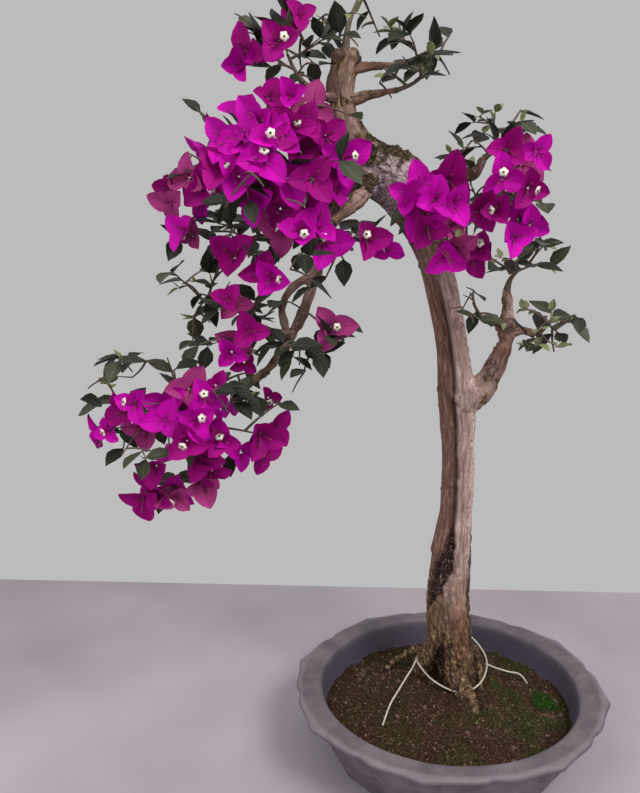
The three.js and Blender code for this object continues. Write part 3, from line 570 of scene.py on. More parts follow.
def barkSkin():  # bougainvillea bark: papery on the young strands, corky and flaking at the foot and shoulder
    material, tree = startMaterial("flakingBark", {"Roughness": 0.88, "Specular IOR Level": 0.25})
    grain = addNode(tree, "ShaderNodeAttribute", attribute_name="grain").outputs["Vector"]
    pattern = {}
    for name, (stretch, size, detail, roughness) in barkSet["pattern"].items():
        drawn = addNode(tree, "ShaderNodeMapping", {"Vector": grain, "Scale": (1, 1, stretch)}).outputs["Vector"]
        pattern[name] = addNode(tree, "ShaderNodeTexNoise", {"Vector": drawn, "Scale": perMetre(size),
                                "Detail": detail, "Roughness": roughness}).outputs["Fac"]
    tone = addNode(tree, "ShaderNodeValToRGB", {"Fac": pattern["fibre"]},
                   stops=((0.28, "#472f29"), (0.5, "#78584c"), (0.74, "#ad8b7c"))).outputs["Color"]
    layers = (  # share, pattern and tones of each kind of bark laid over the red-brown strand
        ("strand", "fibre", ((0.26, "#67534e"), (0.48, "#997f78"), (0.74, "#c8afa7"))),
        ("pale", "speck", ((0.33, "#5c4541"), (0.41, "#a98c86"), (0.55, "#c6a9a2"), (0.72, "#e2c9c2"))),
        ("rough", "plate", ((0.35, "#20160f"), (0.44, "#4c3a2c"), (0.54, "#7a6149"), (0.63, "#aa8e6c"),
                            (0.73, "#d0b693"))),
        ("warm", "plate", ((0.34, "#573828"), (0.5, "#9a6f54"), (0.7, "#cfa888"))),
        ("lump", "speck", ((0.33, "#514144"), (0.43, "#85706f"), (0.58, "#aa969a"), (0.75, "#cfc0c4"))),
        # hollow tones, near black at the darkest: the rotted wood's own colour, with painted shade in the hollow and
        # in the gaps between the roots
        ("hollow", "speck", ((0.38, "#130c0b"), (0.52, "#342220"), (0.61, "#5c443d"), (0.72, "#b39d95"))),
        # tones of the dark line between the strands: partly the real gap, partly painted shade in the groove, beside
        # it and down the flank
        ("crackAndShade", "fibre", ((0.3, "#22110f"), (0.7, "#43261f"))),
        ("moss", "speck", ((0.36, "#1a1310"), (0.5, "#3b2f20"), (0.62, "#615334"), (0.74, "#93805f"))),
    )
    for name, drawnAs, stops in layers:
        over = addNode(tree, "ShaderNodeValToRGB", {"Fac": pattern[drawnAs]}, stops=stops).outputs["Color"]
        share = addNode(tree, "ShaderNodeAttribute", attribute_name=name).outputs["Fac"]
        tone = addNode(tree, "ShaderNodeMix", {"Factor": share, 6: tone, 7: over}, data_type="RGBA").outputs[2]
        if name == "rough":
            rough = share
    pit = addNode(tree, "ShaderNodeMapRange", {"Value": pattern["speck"], "From Min": 0.3, "From Max": 0.4,
                  "To Min": 0.6, "To Max": 0.0}).outputs["Result"]
    pitted = addNode(tree, "ShaderNodeMix", {"Factor": pit, 6: tone, 7: linear("#2f211d")},
                     data_type="RGBA").outputs[2]
    flakes = addNode(tree, "ShaderNodeMath", {0: pattern["plate"], 1: rough}, operation="MULTIPLY").outputs[0]
    fibres = addNode(tree, "ShaderNodeMath", {0: flakes, 1: 2.2, 2: pattern["fibre"]},
                     operation="MULTIPLY_ADD").outputs[0]
    relief = addNode(tree, "ShaderNodeMath", {0: pattern["speck"], 1: 0.7, 2: fibres},
                     operation="MULTIPLY_ADD").outputs[0]
    bump = addNode(tree, "ShaderNodeBump", {"Height": relief, "Strength": 0.7, "Distance": 1.0 * mm})
    return wired(material, pitted, bump)


def knotBumps(points, seed, count, size):  # bud scars and small knots at seeded places
    random = np.random.default_rng(seed)
    middles = points[random.integers(0, len(points), count)]
    lift = np.zeros(len(points))
    for middle, height, reach in zip(middles, random.uniform(0.5, 1.4, count), random.uniform(0.7, 1.5, count)):
        away = np.linalg.norm(points - middle, axis=1) / (size * reach)
        lift += height * np.exp(-away ** 2) - 0.5 * height * np.exp(-((away - 1.5) / 0.5) ** 2)
    return lift


def collarOf(line, trunkLine):  # the start of a bough, swollen where it leaves the trunk
    at, along, radius = line
    trunkAt, _, trunkRadius = trunkLine
    reach = np.concatenate([[0], np.cumsum(np.linalg.norm(np.diff(at, axis=0), axis=1))])
    depths = [min(np.linalg.norm(trunkAt - place, axis=1) - trunkRadius) for place in at]
    leaves = next((index for index, depth in enumerate(depths) if depth > -1), len(at) - 1)
    span = (reach - reach[leaves]) / barkSet["collarLength"]
    keep = span <= 1
    swell = 0.9 + (barkSet["collar"] - 0.9) * (1 - smoothstep(span, -0.2, 1))
    return at[keep], along[keep], (radius * swell)[keep]


def trunkParts(trunkLine):  # the stem, its surface roots and the foot of every bough that leaves it
    at, along, radius = trunkLine
    along[0] = (0, 0, 1)
    sunk = (np.concatenate([[at[0] - (0, 0, barkSet["sunk"])], at]), np.concatenate([[along[0]], along]),
            np.concatenate([[radius[0]], radius]))
    parts = [loft(sunk, barkSet["trunkSides"], trunkRelief)]
    for toe in barkSet["toes"]:
        parts.append(loft(limbSamples(toe, barkSet["ringStep"]), barkSet["boughSides"]))
    for name, stations in boughStations.items():
        if name not in barkSet["offBoughs"]:
            collar = collarOf(limbSamples(stations, barkSet["ringStep"]), trunkLine)
            parts.append(loft(collar, barkSet["boughSides"]))
    return parts


def trunkMarks(points, normals, angle, distance, radius):  # share of each kind of bark at every point
    zone, rear = barkSet["zones"], barkSet["rearGroove"]["angle"]
    height, degrees, patchy = points[:, 2], np.degrees(angle), noiseAt(points, 14, 4)
    side = grooveAngle(height)
    past = (angle - np.radians(rear)) % (2 * math.pi) / (np.radians(side - rear) % (2 * math.pi))
    strand = 1 - smoothstep(past, 0.02, 0.06) * (1 - smoothstep(past, 0.97, 1.0))
    ending = smoothstep(height, *zone["strandEnd"])
    strand = strand * (1 - 0.65 * ending) + 0.2 * ending
    onCollar = smoothstep(distance / radius + 0.3 * patchy, *barkSet["collarReach"])
    pale = smoothstep(degrees + 12 * patchy, *zone["paleSide"]) * (1 - smoothstep(degrees, *zone["paleBack"]))
    pale = pale * smoothstep(height + 20 * patchy, *zone["paleFoot"])
    pale = pale * (1 - smoothstep(height + 30 * patchy, *zone["paleTop"]))
    pale = pale * (1 - 0.8 * onCollar) * (1 - 0.4 * smoothstep(degrees + 20 * patchy, *zone["paleFront"]))
    foot = 1 - smoothstep(height + 26 * patchy, *zone["foot"])
    neck = smoothstep(height, *zone["neck"]) * (0.25 + 0.9 * smoothstep(patchy, 0.0, 0.3))
    flank = smoothstep(degrees + 10 * patchy, *zone["flankSide"]) * (1 - smoothstep(degrees, *zone["flankBack"]))
    flank = flank * smoothstep(height, *zone["flankFoot"])
    flank = flank * (1 - smoothstep(height + 24 * patchy, *zone["flankTop"]))
    collars = onCollar * (0.35 + 1.1 * smoothstep(noiseAt(points, 9, 11), 0.0, 0.3))
    collars = collars * (height > barkSet["collarsAbove"])
    tip = 0.5 * smoothstep(height, *zone["tip"])
    warm = nearAngle(angle, -72, 22) * smoothstep(height, *zone["warmFoot"])
    warm = warm * (1 - smoothstep(height + 20 * patchy, *zone["warmTop"]))
    lumpAway = np.linalg.norm(points - barkSet["lumpAt"], axis=1)
    aside = (degrees - side + 180) % 360 - 180
    # Painted shade: a soft dark band on one side of the groove and a dark strip down the flank join the dark line
    # along the groove, which is itself partly painted shade in the sunk groove.
    shade = 0.6 * np.exp(-(aside / np.degrees(6.5 / radius)) ** 2) * (aside < 0)
    crackAndShade = np.maximum(nearAngle(angle, side, np.degrees(1.6 / radius)), shade) * alongGroove(height, 20, 45)
    crackAndShade = np.maximum(crackAndShade, 0.6 * flank * (1 - smoothstep(degrees, -26, -8)) * smoothstep(patchy, -0.5, 0.1))
    moss = smoothstep(noiseAt(points, 9, 8), 0.05, 0.4) * (1 - smoothstep(height, *zone["mossyFoot"])) * 0.6
    for x, y, z, reach, steep in barkSet["mossAt"]:
        away = np.linalg.norm(points - (x, y, z), axis=1) / reach + 0.4 * noiseAt(points, 6, 3)
        moss = np.maximum(moss, (1 - smoothstep(away, 0.75, 1.0)) * smoothstep(normals[:, 2] + steep, 0.0, 0.4))
    scaly = np.maximum.reduce([foot, neck, flank, collars, tip])
    return {
        "strand": strand, "pale": pale, "rough": np.clip(scaly, 0, 1), "warm": 0.6 * warm,
        "lump": 1 - smoothstep(lumpAway + 8 * patchy, *barkSet["lumpReach"]),
        # the hollow and the gaps between the roots get the darkest tones, partly painted shade in these recesses
        "hollow": np.clip(np.maximum(hollowShare(height, angle), cleftShare(points)), 0, 1),
        "crackAndShade": crackAndShade, "moss": moss,
    }


def trunkLift(points, grain, marks):  # scales, lumps, fibres, knots and moss, in millimetres off the skin
    zone, height = barkSet["zones"], points[:, 2]
    plates = noiseAt(grain * (1, 1, 0.4), 4.6, 1)
    lumps = noiseAt(grain * (1, 1, 0.6), 13, 6)
    fibres = noiseAt(grain * (1, 1, 0.12), 2.4, 7)
    waist = smoothstep(height, *zone["waistFoot"]) * (1 - smoothstep(height, *zone["waistTop"]))
    lift = -2.6 * waist * (0.6 + 0.4 * np.sin(height / 5.5))
    lift += marks["rough"] * (1.9 * smoothstep(np.abs(plates), 0.05, 0.28) - 1.3)
    lift += (0.9 + 1.2 * smoothstep(height, *zone["neck"])) * lumps + 0.42 * fibres * (1 - 0.4 * marks["rough"])
    lift -= 5 * cleftShare(points)
    lift += 2.4 * marks["hollow"] * plates + 0.5 * marks["pale"] * noiseAt(points, 2.4, 12)
    for seed, count, size in barkSet["knots"]:
        lift += knotBumps(points, seed, count, size)
    return lift + 3.0 * marks["moss"] * np.abs(noiseAt(points, 3.0, 9))


def dressBark(piece, points, marks, grain):  # moves the skin and writes what the bark material reads
    piece.data.vertices.foreach_set("co", np.ravel(points * mm))
    piece.data.update()
    for kind in ("strand", "pale", "rough", "warm", "lump", "hollow", "crackAndShade", "moss"):
        setAttribute(piece.data, kind, np.clip(marks.get(kind, np.zeros(len(points))), 0, 1))
    setAttribute(piece.data, "grain", grain * mm, "FLOAT_VECTOR")
    piece.data.shade_smooth()


def makeTrunk(bark):
    trunkLine = limbSamples(trunkStations, barkSet["ringStep"])
    trunk = remeshed("bark_trunk", trunkParts(trunkLine), barkSet["trunkVoxel"])
    points, normals = readRows(trunk.data.vertices, "co") / mm, readRows(trunk.data.vertex_normals, "vector")
    _, down, angle, distance, radius = limbPlace(points, [trunkLine])
    marks = trunkMarks(points, normals, angle, distance, radius)
    grain = grainPlace(down, angle, distance)
    dressBark(trunk, points + normals * trunkLift(points, grain, marks)[:, None], marks, grain)
    settle(trunk, ["trunk"], bark)


def makeBoughs(bark):
    lines = [limbSamples(stations, barkSet["ringStep"] * 0.8) for stations in boughStations.values()]
    parts = []
    for number, (at, along, radius) in enumerate(lines):
        knuckle = 1 + 0.10 * np.sin(np.arange(len(at)) / 5.5 + number) + 0.07 * np.sin(np.arange(len(at)) / 2.3)
        parts.append(loft((at, along, radius * knuckle), barkSet["boughSides"]))
    boughs = remeshed("bark_boughs", parts, barkSet["boughVoxel"])
    points, normals = readRows(boughs.data.vertices, "co") / mm, readRows(boughs.data.vertex_normals, "vector")
    _, down, angle, distance, _ = limbPlace(points, lines)
    grain = grainPlace(down, angle, distance)
    plates = noiseAt(grain * (1, 1, 0.5), 4, 1)
    rough = np.clip(0.25 + 1.3 * noiseAt(points, 16, 5), 0, 0.85)
    lift = rough * (1.0 * smoothstep(np.abs(plates), 0.05, 0.28) - 0.7)
    lift += 0.6 * noiseAt(grain * (1, 1, 0.6), 8, 6) + 0.3 * noiseAt(grain * (1, 1, 0.15), 2, 7)
    lift += knotBumps(points, 5, 90, 1.5)
    weathered = (points[:, 0] < -98) * (1 - smoothstep(points[:, 2], 500, 530))  # on the falling bough
    marks = {
        "strand": 0.15 + 0.5 * weathered + 0.9 * noiseAt(points, 20, 2), "rough": rough,
        "pale": (0.45 + 0.25 * weathered) * smoothstep(noiseAt(points, 26, 3), -0.1, 0.3),
        "hollow": 0.55 * smoothstep(noiseAt(points, 13, 8), 0.16, 0.34),
    }
    dressBark(boughs, points + normals * lift[:, None], marks, grain)
    settle(boughs, list(boughStations), bark)


bark = barkSkin()
makeTrunk(bark)
makeBoughs(bark)
print("trunk and boughs done")


# node trees that repeat a shape

def openTree(name, inputs):
    tree = bpy.data.node_groups.new(name, "GeometryNodeTree")
    for label, kind in inputs:
        tree.interface.new_socket(label, in_out="INPUT", socket_type="NodeSocket" + kind)
    tree.interface.new_socket("Result", in_out="OUTPUT", socket_type="NodeSocketGeometry")
    return tree, addNode(tree, "NodeGroupInput").outputs


def closeTree(tree, made, finish):
    done = addNode(tree, "GeometryNodeSetMaterial", {"Geometry": made, "Material": finish}).outputs[0]
    addNode(tree, "NodeGroupOutput", {"Result": done})
    return tree


def shapesOn(tree, points, shapes, index, turn, size):  # one shape of the shelf at every point, made real
    shelf = addNode(tree, "GeometryNodeCollectionInfo",
                    {"Collection": shapes, "Separate Children": True, "Reset Children": True})
    placed = addNode(tree, "GeometryNodeInstanceOnPoints",
                     {"Points": points, "Instance": shelf.outputs["Instances"], "Pick Instance": True,
                      "Instance Index": index, "Rotation": turn, "Scale": size})
    return addNode(tree, "GeometryNodeRealizeInstances", {"Geometry": placed.outputs["Instances"]}).outputs[0]


def namedValue(tree, name, kind):
    return addNode(tree, "GeometryNodeInputNamedAttribute", {"Name": name}, data_type=kind).outputs["Attribute"]


def sprayTree(finishes):  # sets a shape on every seat, turned and sized as the seat says
    tree, given = openTree("spray", [("Seats", "Geometry"), ("Shapes", "Collection"), ("Size", "Float")]
                           + [(f"Finish {number}", "Material") for number in range(finishes)])
    turn = addNode(tree, "FunctionNodeAxesToRotation",
                   {"Primary Axis": namedValue(tree, "axis", "FLOAT_VECTOR"),
                    "Secondary Axis": namedValue(tree, "up", "FLOAT_VECTOR")}, primary_axis="X", secondary_axis="Z")
    size = addNode(tree, "ShaderNodeMath", {0: namedValue(tree, "size", "FLOAT"), 1: given["Size"]},
                   operation="MULTIPLY")
    made = shapesOn(tree, given["Seats"], given["Shapes"], namedValue(tree, "shape", "INT"),
                    turn.outputs["Rotation"], size.outputs[0])
    tint = namedValue(tree, "tint", "INT")
    for number in range(finishes):
        chosen = addNode(tree, "FunctionNodeCompare", {2: tint, 3: number}, data_type="INT", operation="EQUAL")
        made = addNode(tree, "GeometryNodeSetMaterial",
                       {"Geometry": made, "Selection": chosen.outputs[0],
                        "Material": given[f"Finish {number}"]}).outputs[0]
    addNode(tree, "NodeGroupOutput", {"Result": made})
    return tree


def scatterTree():  # strews shapes over a surface where its weight attribute allows
    tree, given = openTree("scatter", [
        ("Surface", "Geometry"), ("Shapes", "Collection"), ("Per square metre", "Float"), ("Weight", "String"),
        ("Smallest", "Float"), ("Largest", "Float"), ("Lean", "Float"), ("Seed", "Int"), ("Finish", "Material")])
    density = addNode(tree, "ShaderNodeMath", {0: namedValue(tree, given["Weight"], "FLOAT"),
                      1: given["Per square metre"]}, operation="MULTIPLY")
    strewn = addNode(tree, "GeometryNodeDistributePointsOnFaces",
                     {"Mesh": given["Surface"], "Density": density.outputs[0], "Seed": given["Seed"]})
    size = addNode(tree, "FunctionNodeRandomValue",
                   {2: given["Smallest"], 3: given["Largest"], "Seed": given["Seed"]}, data_type="FLOAT")
    back = addNode(tree, "ShaderNodeMath", {0: given["Lean"], 1: -1.0}, operation="MULTIPLY")
    low = addNode(tree, "ShaderNodeCombineXYZ", {"X": back.outputs[0], "Y": back.outputs[0], "Z": 0.0})
    high = addNode(tree, "ShaderNodeCombineXYZ", {"X": given["Lean"], "Y": given["Lean"], "Z": 2 * math.pi})
    lean = addNode(tree, "FunctionNodeRandomValue",
                   {0: low.outputs[0], 1: high.outputs[0], "Seed": given["Seed"]}, data_type="FLOAT_VECTOR")
    leaning = addNode(tree, "FunctionNodeEulerToRotation", {"Euler": lean.outputs[0]})
    turn = addNode(tree, "FunctionNodeRotateRotation",
                   {"Rotation": strewn.outputs["Rotation"], "Rotate By": leaning.outputs[0]},
                   rotation_space="LOCAL")
    pick = addNode(tree, "FunctionNodeRandomValue", {4: 0, 5: 3, "Seed": given["Seed"]}, data_type="INT")
    made = shapesOn(tree, strewn.outputs["Points"], given["Shapes"], pick.outputs[2],
                    turn.outputs["Rotation"], size.outputs[1])
    return closeTree(tree, made, given["Finish"])


def tubeTree():  # a round tube along every curve, as thick as the curve's own radius
    tree, given = openTree("tube", [("Curves", "Geometry"), ("Sides", "Int"), ("Finish", "Material")])
    section = addNode(tree, "GeometryNodeCurvePrimitiveCircle", {"Resolution": given["Sides"], "Radius": 1.0})
    thick = addNode(tree, "GeometryNodeInputRadius").outputs[0]
    tube = addNode(tree, "GeometryNodeCurveToMesh",
                   {"Curve": given["Curves"], "Profile Curve": section.outputs["Curve"], "Scale": thick,
                    "Fill Caps": True})
    made = addNode(tree, "GeometryNodeRealizeInstances", {"Geometry": tube.outputs["Mesh"]}).outputs[0]
    return closeTree(tree, made, given["Finish"])


def grownPiece(name, source, tree, values):  # runs the tree on the source and keeps the plain mesh
    modifier = source.modifiers.new("shape", "NODES")
    modifier.node_group = tree
    for socket in tree.interface.items_tree:
        if socket.in_out == "INPUT" and socket.name in values:
            modifier[socket.identifier] = values[socket.name]
    graph = bpy.context.evaluated_depsgraph_get()
    mesh = bpy.data.meshes.new_from_object(source.evaluated_get(graph), preserve_all_data_layers=True,
                                           depsgraph=graph)
    source.modifiers.clear()
    mesh.name = name
    mesh.shade_smooth()
    return show(bpy.data.objects.new(name, mesh))


def shapeShelf(name, shapes):  # a collection that a tree picks from
    shelf = bpy.data.collections.new(name)
    for number, shape in enumerate(shapes):
        shape.name = f"{name}_{number}"
        for owner in list(shape.users_collection):
            owner.objects.unlink(shape)
        shelf.objects.link(shape)
    return shelf


def makeTubes(name, lines, sides, finish):
    data = bpy.data.curves.new(name + "_lines", "CURVE")
    data.dimensions = "3D"
    for points, radii in lines:
        spline = data.splines.new("POLY")
        spline.points.add(len(points) - 1)
        for place, point, radius in zip(spline.points, points, radii):
            place.co = (*(Vector(point) * mm), 1)
            place.radius = radius * mm
    source = show(bpy.data.objects.new(name + "_lines", data))
    piece = grownPiece(name, source, tubes, {"Sides": sides, "Finish": finish})
    bpy.data.objects.remove(source)
    return piece


tubes = tubeTree()
scatter = scatterTree()


# soil, moss and what lies on it

soilSet = {
    "edge": 41, "inset": 4.0, "crown": 50, "crownAt": (9, 14), "crownHalf": (50, 45),
    "rings": 110, "steps": 300, "clod": 15, "clodHeight": 2.6, "crumb": 4.2, "crumbHeight": 1.5,
    "grain": 1.6, "grainHeight": 0.5, "edgeDrop": 1.5, "under": 34,
    "tones": ("#150d0a", "#3a261b", "#6b4c38"),
    "mossTones": ("#191c0b", "#3a3e1c", "#66653a"),
    "brightMossAt": (95, -16, 15),  # middle and radius
    "chipsAt": ((124, 38, 17), (95, -32, 13), (-60, 44, 22)),
    "tuft": {"blades": 6, "length": 2.6, "width": 0.7}, "crumbFlat": 0.75, "flakeFlat": 0.3,
    "covers": {  # shapes, weight, per square metre, smallest, largest, lean, seed; name and look of the finish
        "moss_dull": ("tuft", "mossOnly", 190000, 0.6, 1.25, 0.5, 4, ("dullMoss", "#494522", 0.9, 0.7)),
        "moss_bright": ("tuft", "brightMoss", 700000, 0.7, 1.4, 0.4, 5, ("brightMoss", "#27520f", 0.9, 0.6)),
        "soil_crumbs": ("crumb", "open", 60000, 0.8, 2.6, 1.5, 6, ("soilCrumb", "#45301f", 0.95, 0.6)),
        "soil_grit": ("crumb", "open", 14000, 0.6, 1.9, 1.5, 7, ("paleGrit", "#a08e78", 0.85, 0.45)),
        "bark_chips": ("flake", "chips", 26000, 2.5, 7.0, 0.5, 8, ("barkChip", "#634843", 0.9, 0.5, 5)),
        "shoulder_crumbs": ("crumb", "moss", 130000, 0.8, 2.1, 1.5, 9, ("shoulderCrumb", "#3b2b20", 0.95, 0.7)),
        "shoulder_moss": ("tuft", "moss", 90000, 0.5, 1.0, 0.7, 10, ("dryMoss", "#5a4f30", 0.9, 0.6)),
    },
}
rootSet = {
    "seed": 12, "count": 360, "steps": 9, "half": (114, 97), "clear": (8, 14, 30),  # clear of the stem
    "length": (7, 24), "arch": (0.3, 2.2), "thick": (0.13, 0.33), "bend": 0.28, "wander": 0.2,
    "sparseLeftOf": -30, "sparse": 0.45, "finish": ("dryRoot", "#6a5640", 0.95, 0.9, 9),
}


def moistSoil():  # peaty potting soil with grit, greened over where moss has taken
    material, tree = startMaterial("moistSoil", {"Roughness": 0.95, "Specular IOR Level": 0.2})
    place = addNode(tree, "ShaderNodeTexCoord").outputs["Object"]
    crumb = addNode(tree, "ShaderNodeTexNoise",
                    {"Vector": place, "Scale": perMetre(2.4), "Detail": 6, "Roughness": 0.75}).outputs["Fac"]
    tone = addNode(tree, "ShaderNodeValToRGB", {"Fac": crumb},
                   stops=tuple(zip((0.36, 0.52, 0.7), soilSet["tones"])))
    green = addNode(tree, "ShaderNodeValToRGB", {"Fac": crumb},
                    stops=tuple(zip((0.36, 0.55, 0.72), soilSet["mossTones"])))
    moss = addNode(tree, "ShaderNodeAttribute", attribute_name="moss").outputs["Fac"]
    mixed = addNode(tree, "ShaderNodeMix", {"Factor": moss, 6: tone.outputs["Color"], 7: green.outputs["Color"]},
                    data_type="RGBA").outputs[2]
    bump = addNode(tree, "ShaderNodeBump", {"Height": crumb, "Strength": 0.9, "Distance": 1.2 * mm})
    return wired(material, mixed, bump)


def plainFinish(name, hexColour, roughness, speckle=0.12, size=3.0, specular=0.3):
    material, tree = startMaterial(name, {"Roughness": roughness, "Specular IOR Level": specular})
    place = addNode(tree, "ShaderNodeTexCoord").outputs["Object"]
    grain = addNode(tree, "ShaderNodeTexNoise", {"Vector": place, "Scale": perMetre(size), "Detail": 3})
    value = addNode(tree, "ShaderNodeMapRange", {"Value": grain.outputs["Fac"], "From Min": 0.3, "From Max": 0.7,
                    "To Min": 1 - speckle, "To Max": 1 + speckle}).outputs["Result"]
    tone = addNode(tree, "ShaderNodeHueSaturation", {"Value": value, "Color": linear(hexColour)}).outputs["Color"]
    return wired(material, tone)


def soilHeights(points):
    height = soilSet["clodHeight"] * noiseAt(points * (1, 1, 0), soilSet["clod"], 3)
    height += soilSet["crumbHeight"] * noiseAt(points * (1, 1, 0), soilSet["crumb"], 1)
    return height + soilSet["grainHeight"] * noiseAt(points * (1, 1, 0), soilSet["grain"], 8)


def nearSpot(points, spot):
    away = np.hypot(points[:, 0] - spot[0], points[:, 1] - spot[1]) / spot[2]
    return 1 - smoothstep(away + 0.35 * noiseAt(points, 9, 6), 0.55, 1.05)


def makeSoil():
    edgeHalf = [half - soilSet["inset"] for half in potSet["openingHalf"]]
    edge = ovalRing(edgeHalf, soilSet["edge"], steps=soilSet["steps"])
    crown = ovalRing(soilSet["crownHalf"], soilSet["crown"], middle=soilSet["crownAt"], steps=soilSet["steps"])
    centre = np.array((*soilSet["crownAt"], soilSet["crown"]))
    rings = [edge * (0.97, 0.97, 0) + (0, 0, soilSet["under"]), edge - (0, 0, 3)]
    for number in range(soilSet["rings"]):
        share = number / (soilSet["rings"] - 1) * 1.7
        if share <= 1:
            ring = edge + (crown - edge) * share
            ring[:, 2] = soilSet["edge"] + (soilSet["crown"] - soilSet["edge"]) * (0.25 * share + 0.75 * share ** 2)
        else:
            ring = crown + (centre - crown) * (share - 1) / 0.75
        rings.append(ring)
    points, faces = skinRings(rings)
    top = points[:, 2] > soilSet["under"] + 2
    reach = np.hypot(points[:, 0] / edgeHalf[0], points[:, 1] / edgeHalf[1])
    lift = soilHeights(points) - soilSet["edgeDrop"] * smoothstep(reach, 0.94, 1)
    points[:, 2] += np.where(top & (reach < 0.999), lift, 0)
    soil = addPiece("soil_bed", points, faces)
    bright = nearSpot(points, soilSet["brightMossAt"])
    patchy = smoothstep(noiseAt(points, 30, 9) + 0.5 * noiseAt(points, 9, 2), -0.1, 0.35)
    sides = 0.35 + 0.65 * smoothstep(points[:, 0], -40, 45)
    moss = np.clip(np.maximum(patchy * sides, bright), 0, 1) * top
    chips = np.max([nearSpot(points, spot) for spot in soilSet["chipsAt"]], axis=0) * top
    inside = top * (reach < 0.97)
    for name, values in (("moss", moss), ("mossOnly", moss * (1 - bright) * inside), ("open", inside),
                         ("brightMoss", bright * inside), ("chips", (0.08 + chips) * inside)):
        setAttribute(soil.data, name, values)
    return soil, points


def tuftShape(seed, blades, length, width):
    random = np.random.default_rng(seed)
    points, faces = [], []
    for blade in range(blades):
        turn = 2 * math.pi * (blade + random.uniform(-0.3, 0.3)) / blades
        out = np.array((math.cos(turn), math.sin(turn), 0))
        side = np.array((-out[1], out[0], 0)) * width / 2
        lean, reach = random.uniform(0.25, 0.9), length * random.uniform(0.6, 1)
        tip = out * lean * reach + (0, 0, reach * (1 - 0.4 * lean))
        start = len(points)
        points += [side, -side, out * 0.3 * width, tip]
        faces += [(start, start + 1, start + 3), (start + 1, start + 2, start + 3), (start + 2, start, start + 3),
                  (start, start + 2, start + 1)]
    return addPiece("tuft", points, faces, smooth=False)


def crumbShape(seed, flat):
    random = np.random.default_rng(seed)
    body = bmesh.new()
    bmesh.ops.create_icosphere(body, subdivisions=1, radius=0.5)
    for vertex in body.verts:
        vertex.co *= random.uniform(0.75, 1.2)
        vertex.co.z *= flat
        vertex.co *= mm
    crumb = looseShape("crumb", [], [])
    body.to_mesh(crumb.data)
    body.free()
    return crumb


def strayRoots(points):  # fine dry roots that loop over the soil
    random = np.random.default_rng(rootSet["seed"])
    bed = kdtree.KDTree(len(points))
    for index, point in enumerate(points):
        bed.insert((point[0], point[1], 0), index)
    bed.balance()
    (halfX, halfY), (stemX, stemY, clear), steps = rootSet["half"], rootSet["clear"], rootSet["steps"]
    lines = []
    while len(lines) < rootSet["count"]:
        x, y = random.uniform(2 - halfX, halfX), random.uniform(1 - halfY, halfY - 1)
        sparse = 1 if x > rootSet["sparseLeftOf"] else rootSet["sparse"]
        skipped = random.random() >= sparse
        if math.hypot(x / halfX, y / halfY) > 0.93 or math.hypot(x - stemX, y - stemY) < clear or skipped:
            continue
        heading, bend = random.uniform(0, 2 * math.pi), random.uniform(-rootSet["bend"], rootSet["bend"])
        length, arch = random.uniform(*rootSet["length"]), random.uniform(*rootSet["arch"])
        line = []
        for _ in range(steps):
            line.append((x, y))
            heading += bend + random.uniform(-rootSet["wander"], rootSet["wander"])
            x += math.cos(heading) * length / steps
            y += math.sin(heading) * length / steps
        if any(math.hypot(x / halfX, y / halfY) > 0.96 for x, y in line):
            continue
        body = []
        for step, (x, y) in enumerate(line):
            ground = points[bed.find((x, y, 0))[1]][2]
            body.append((x, y, ground + arch * math.sin(math.pi * step / (steps - 1)) + 0.1))
        thick = random.uniform(*rootSet["thick"])
        lines.append((body, [thick * (1 - 0.5 * step / steps) for step in range(steps)]))
    return lines


tieSet = {
    "radius": 0.85, "sides": 10, "finish": ("softTie", "#cdc4b6", 0.6, 0.16, 5),  # dull coating, grey where dirty
    "runs": [  # soft tie that holds the trunk down, from the soil round the roots and back
        ((-20, 36, 70), (-24, 31, 68), (-28, 27, 64), (-36, 19, 60), (-47, 7, 55), (-60, -10, 52), (-71, -27, 44)),
        ((-20, 37, 71), (-22, 31, 68), (-19, 25, 64), (-13, 16, 59), (-5, 8, 56), (4, -2, 56), (9, -7, 58)),
        ((30, 28, 97), (33, 23, 95), (38, 18, 90), (43, 14, 82), (45, 12, 73), (43, 9, 65), (37, 4, 59), (28, -1, 56),
         (20, -4, 56)),
        ((44, 13, 72), (58, 17, 63), (72, 18, 57), (84, 18, 53), (92, 16, 43)),
    ],
}


def makeTies():
    lines = []
    for run in tieSet["runs"]:
        points = [Vector(point) for point in run]
        steps = 8 * (len(points) - 1)
        lines.append(([catmullRom(points, step / steps) for step in range(steps + 1)],
                      [tieSet["radius"]] * (steps + 1)))
    settle(makeTubes("tie_wires", lines, tieSet["sides"], plainFinish(*tieSet["finish"])))


def makeGround():
    soil, points = makeSoil()
    shelves = {
        "tuft": shapeShelf("tuft", [tuftShape(seed, **soilSet["tuft"]) for seed in range(4)]),
        "crumb": shapeShelf("crumb", [crumbShape(seed, soilSet["crumbFlat"]) for seed in range(4)]),
        "flake": shapeShelf("flake", [crumbShape(seed, soilSet["flakeFlat"]) for seed in range(10, 14)]),
    }
    for name, (shape, weight, count, smallest, largest, lean, seed, finish) in soilSet["covers"].items():
        onBark = weight == "moss"
        strewn = grownPiece(name, bpy.data.objects["bark_trunk"] if onBark else soil, scatter, {
            "Shapes": shelves[shape], "Per square metre": float(count), "Weight": weight, "Smallest": smallest,
            "Largest": largest, "Lean": lean, "Seed": seed, "Finish": plainFinish(*finish)})
        settle(strewn)
    settle(makeTubes("fine_roots", strayRoots(points), 4, plainFinish(*rootSet["finish"])))
    settle(soil, ["soil"], moistSoil())
    for shelf in shelves.values():
        for shape in list(shelf.objects):
            bpy.data.objects.remove(shape)


makeGround()
makeTies()
print("soil, moss and ties done")


# foliage: every mass grows from its stem by the same seeded rule as the model, then on into finer twigs

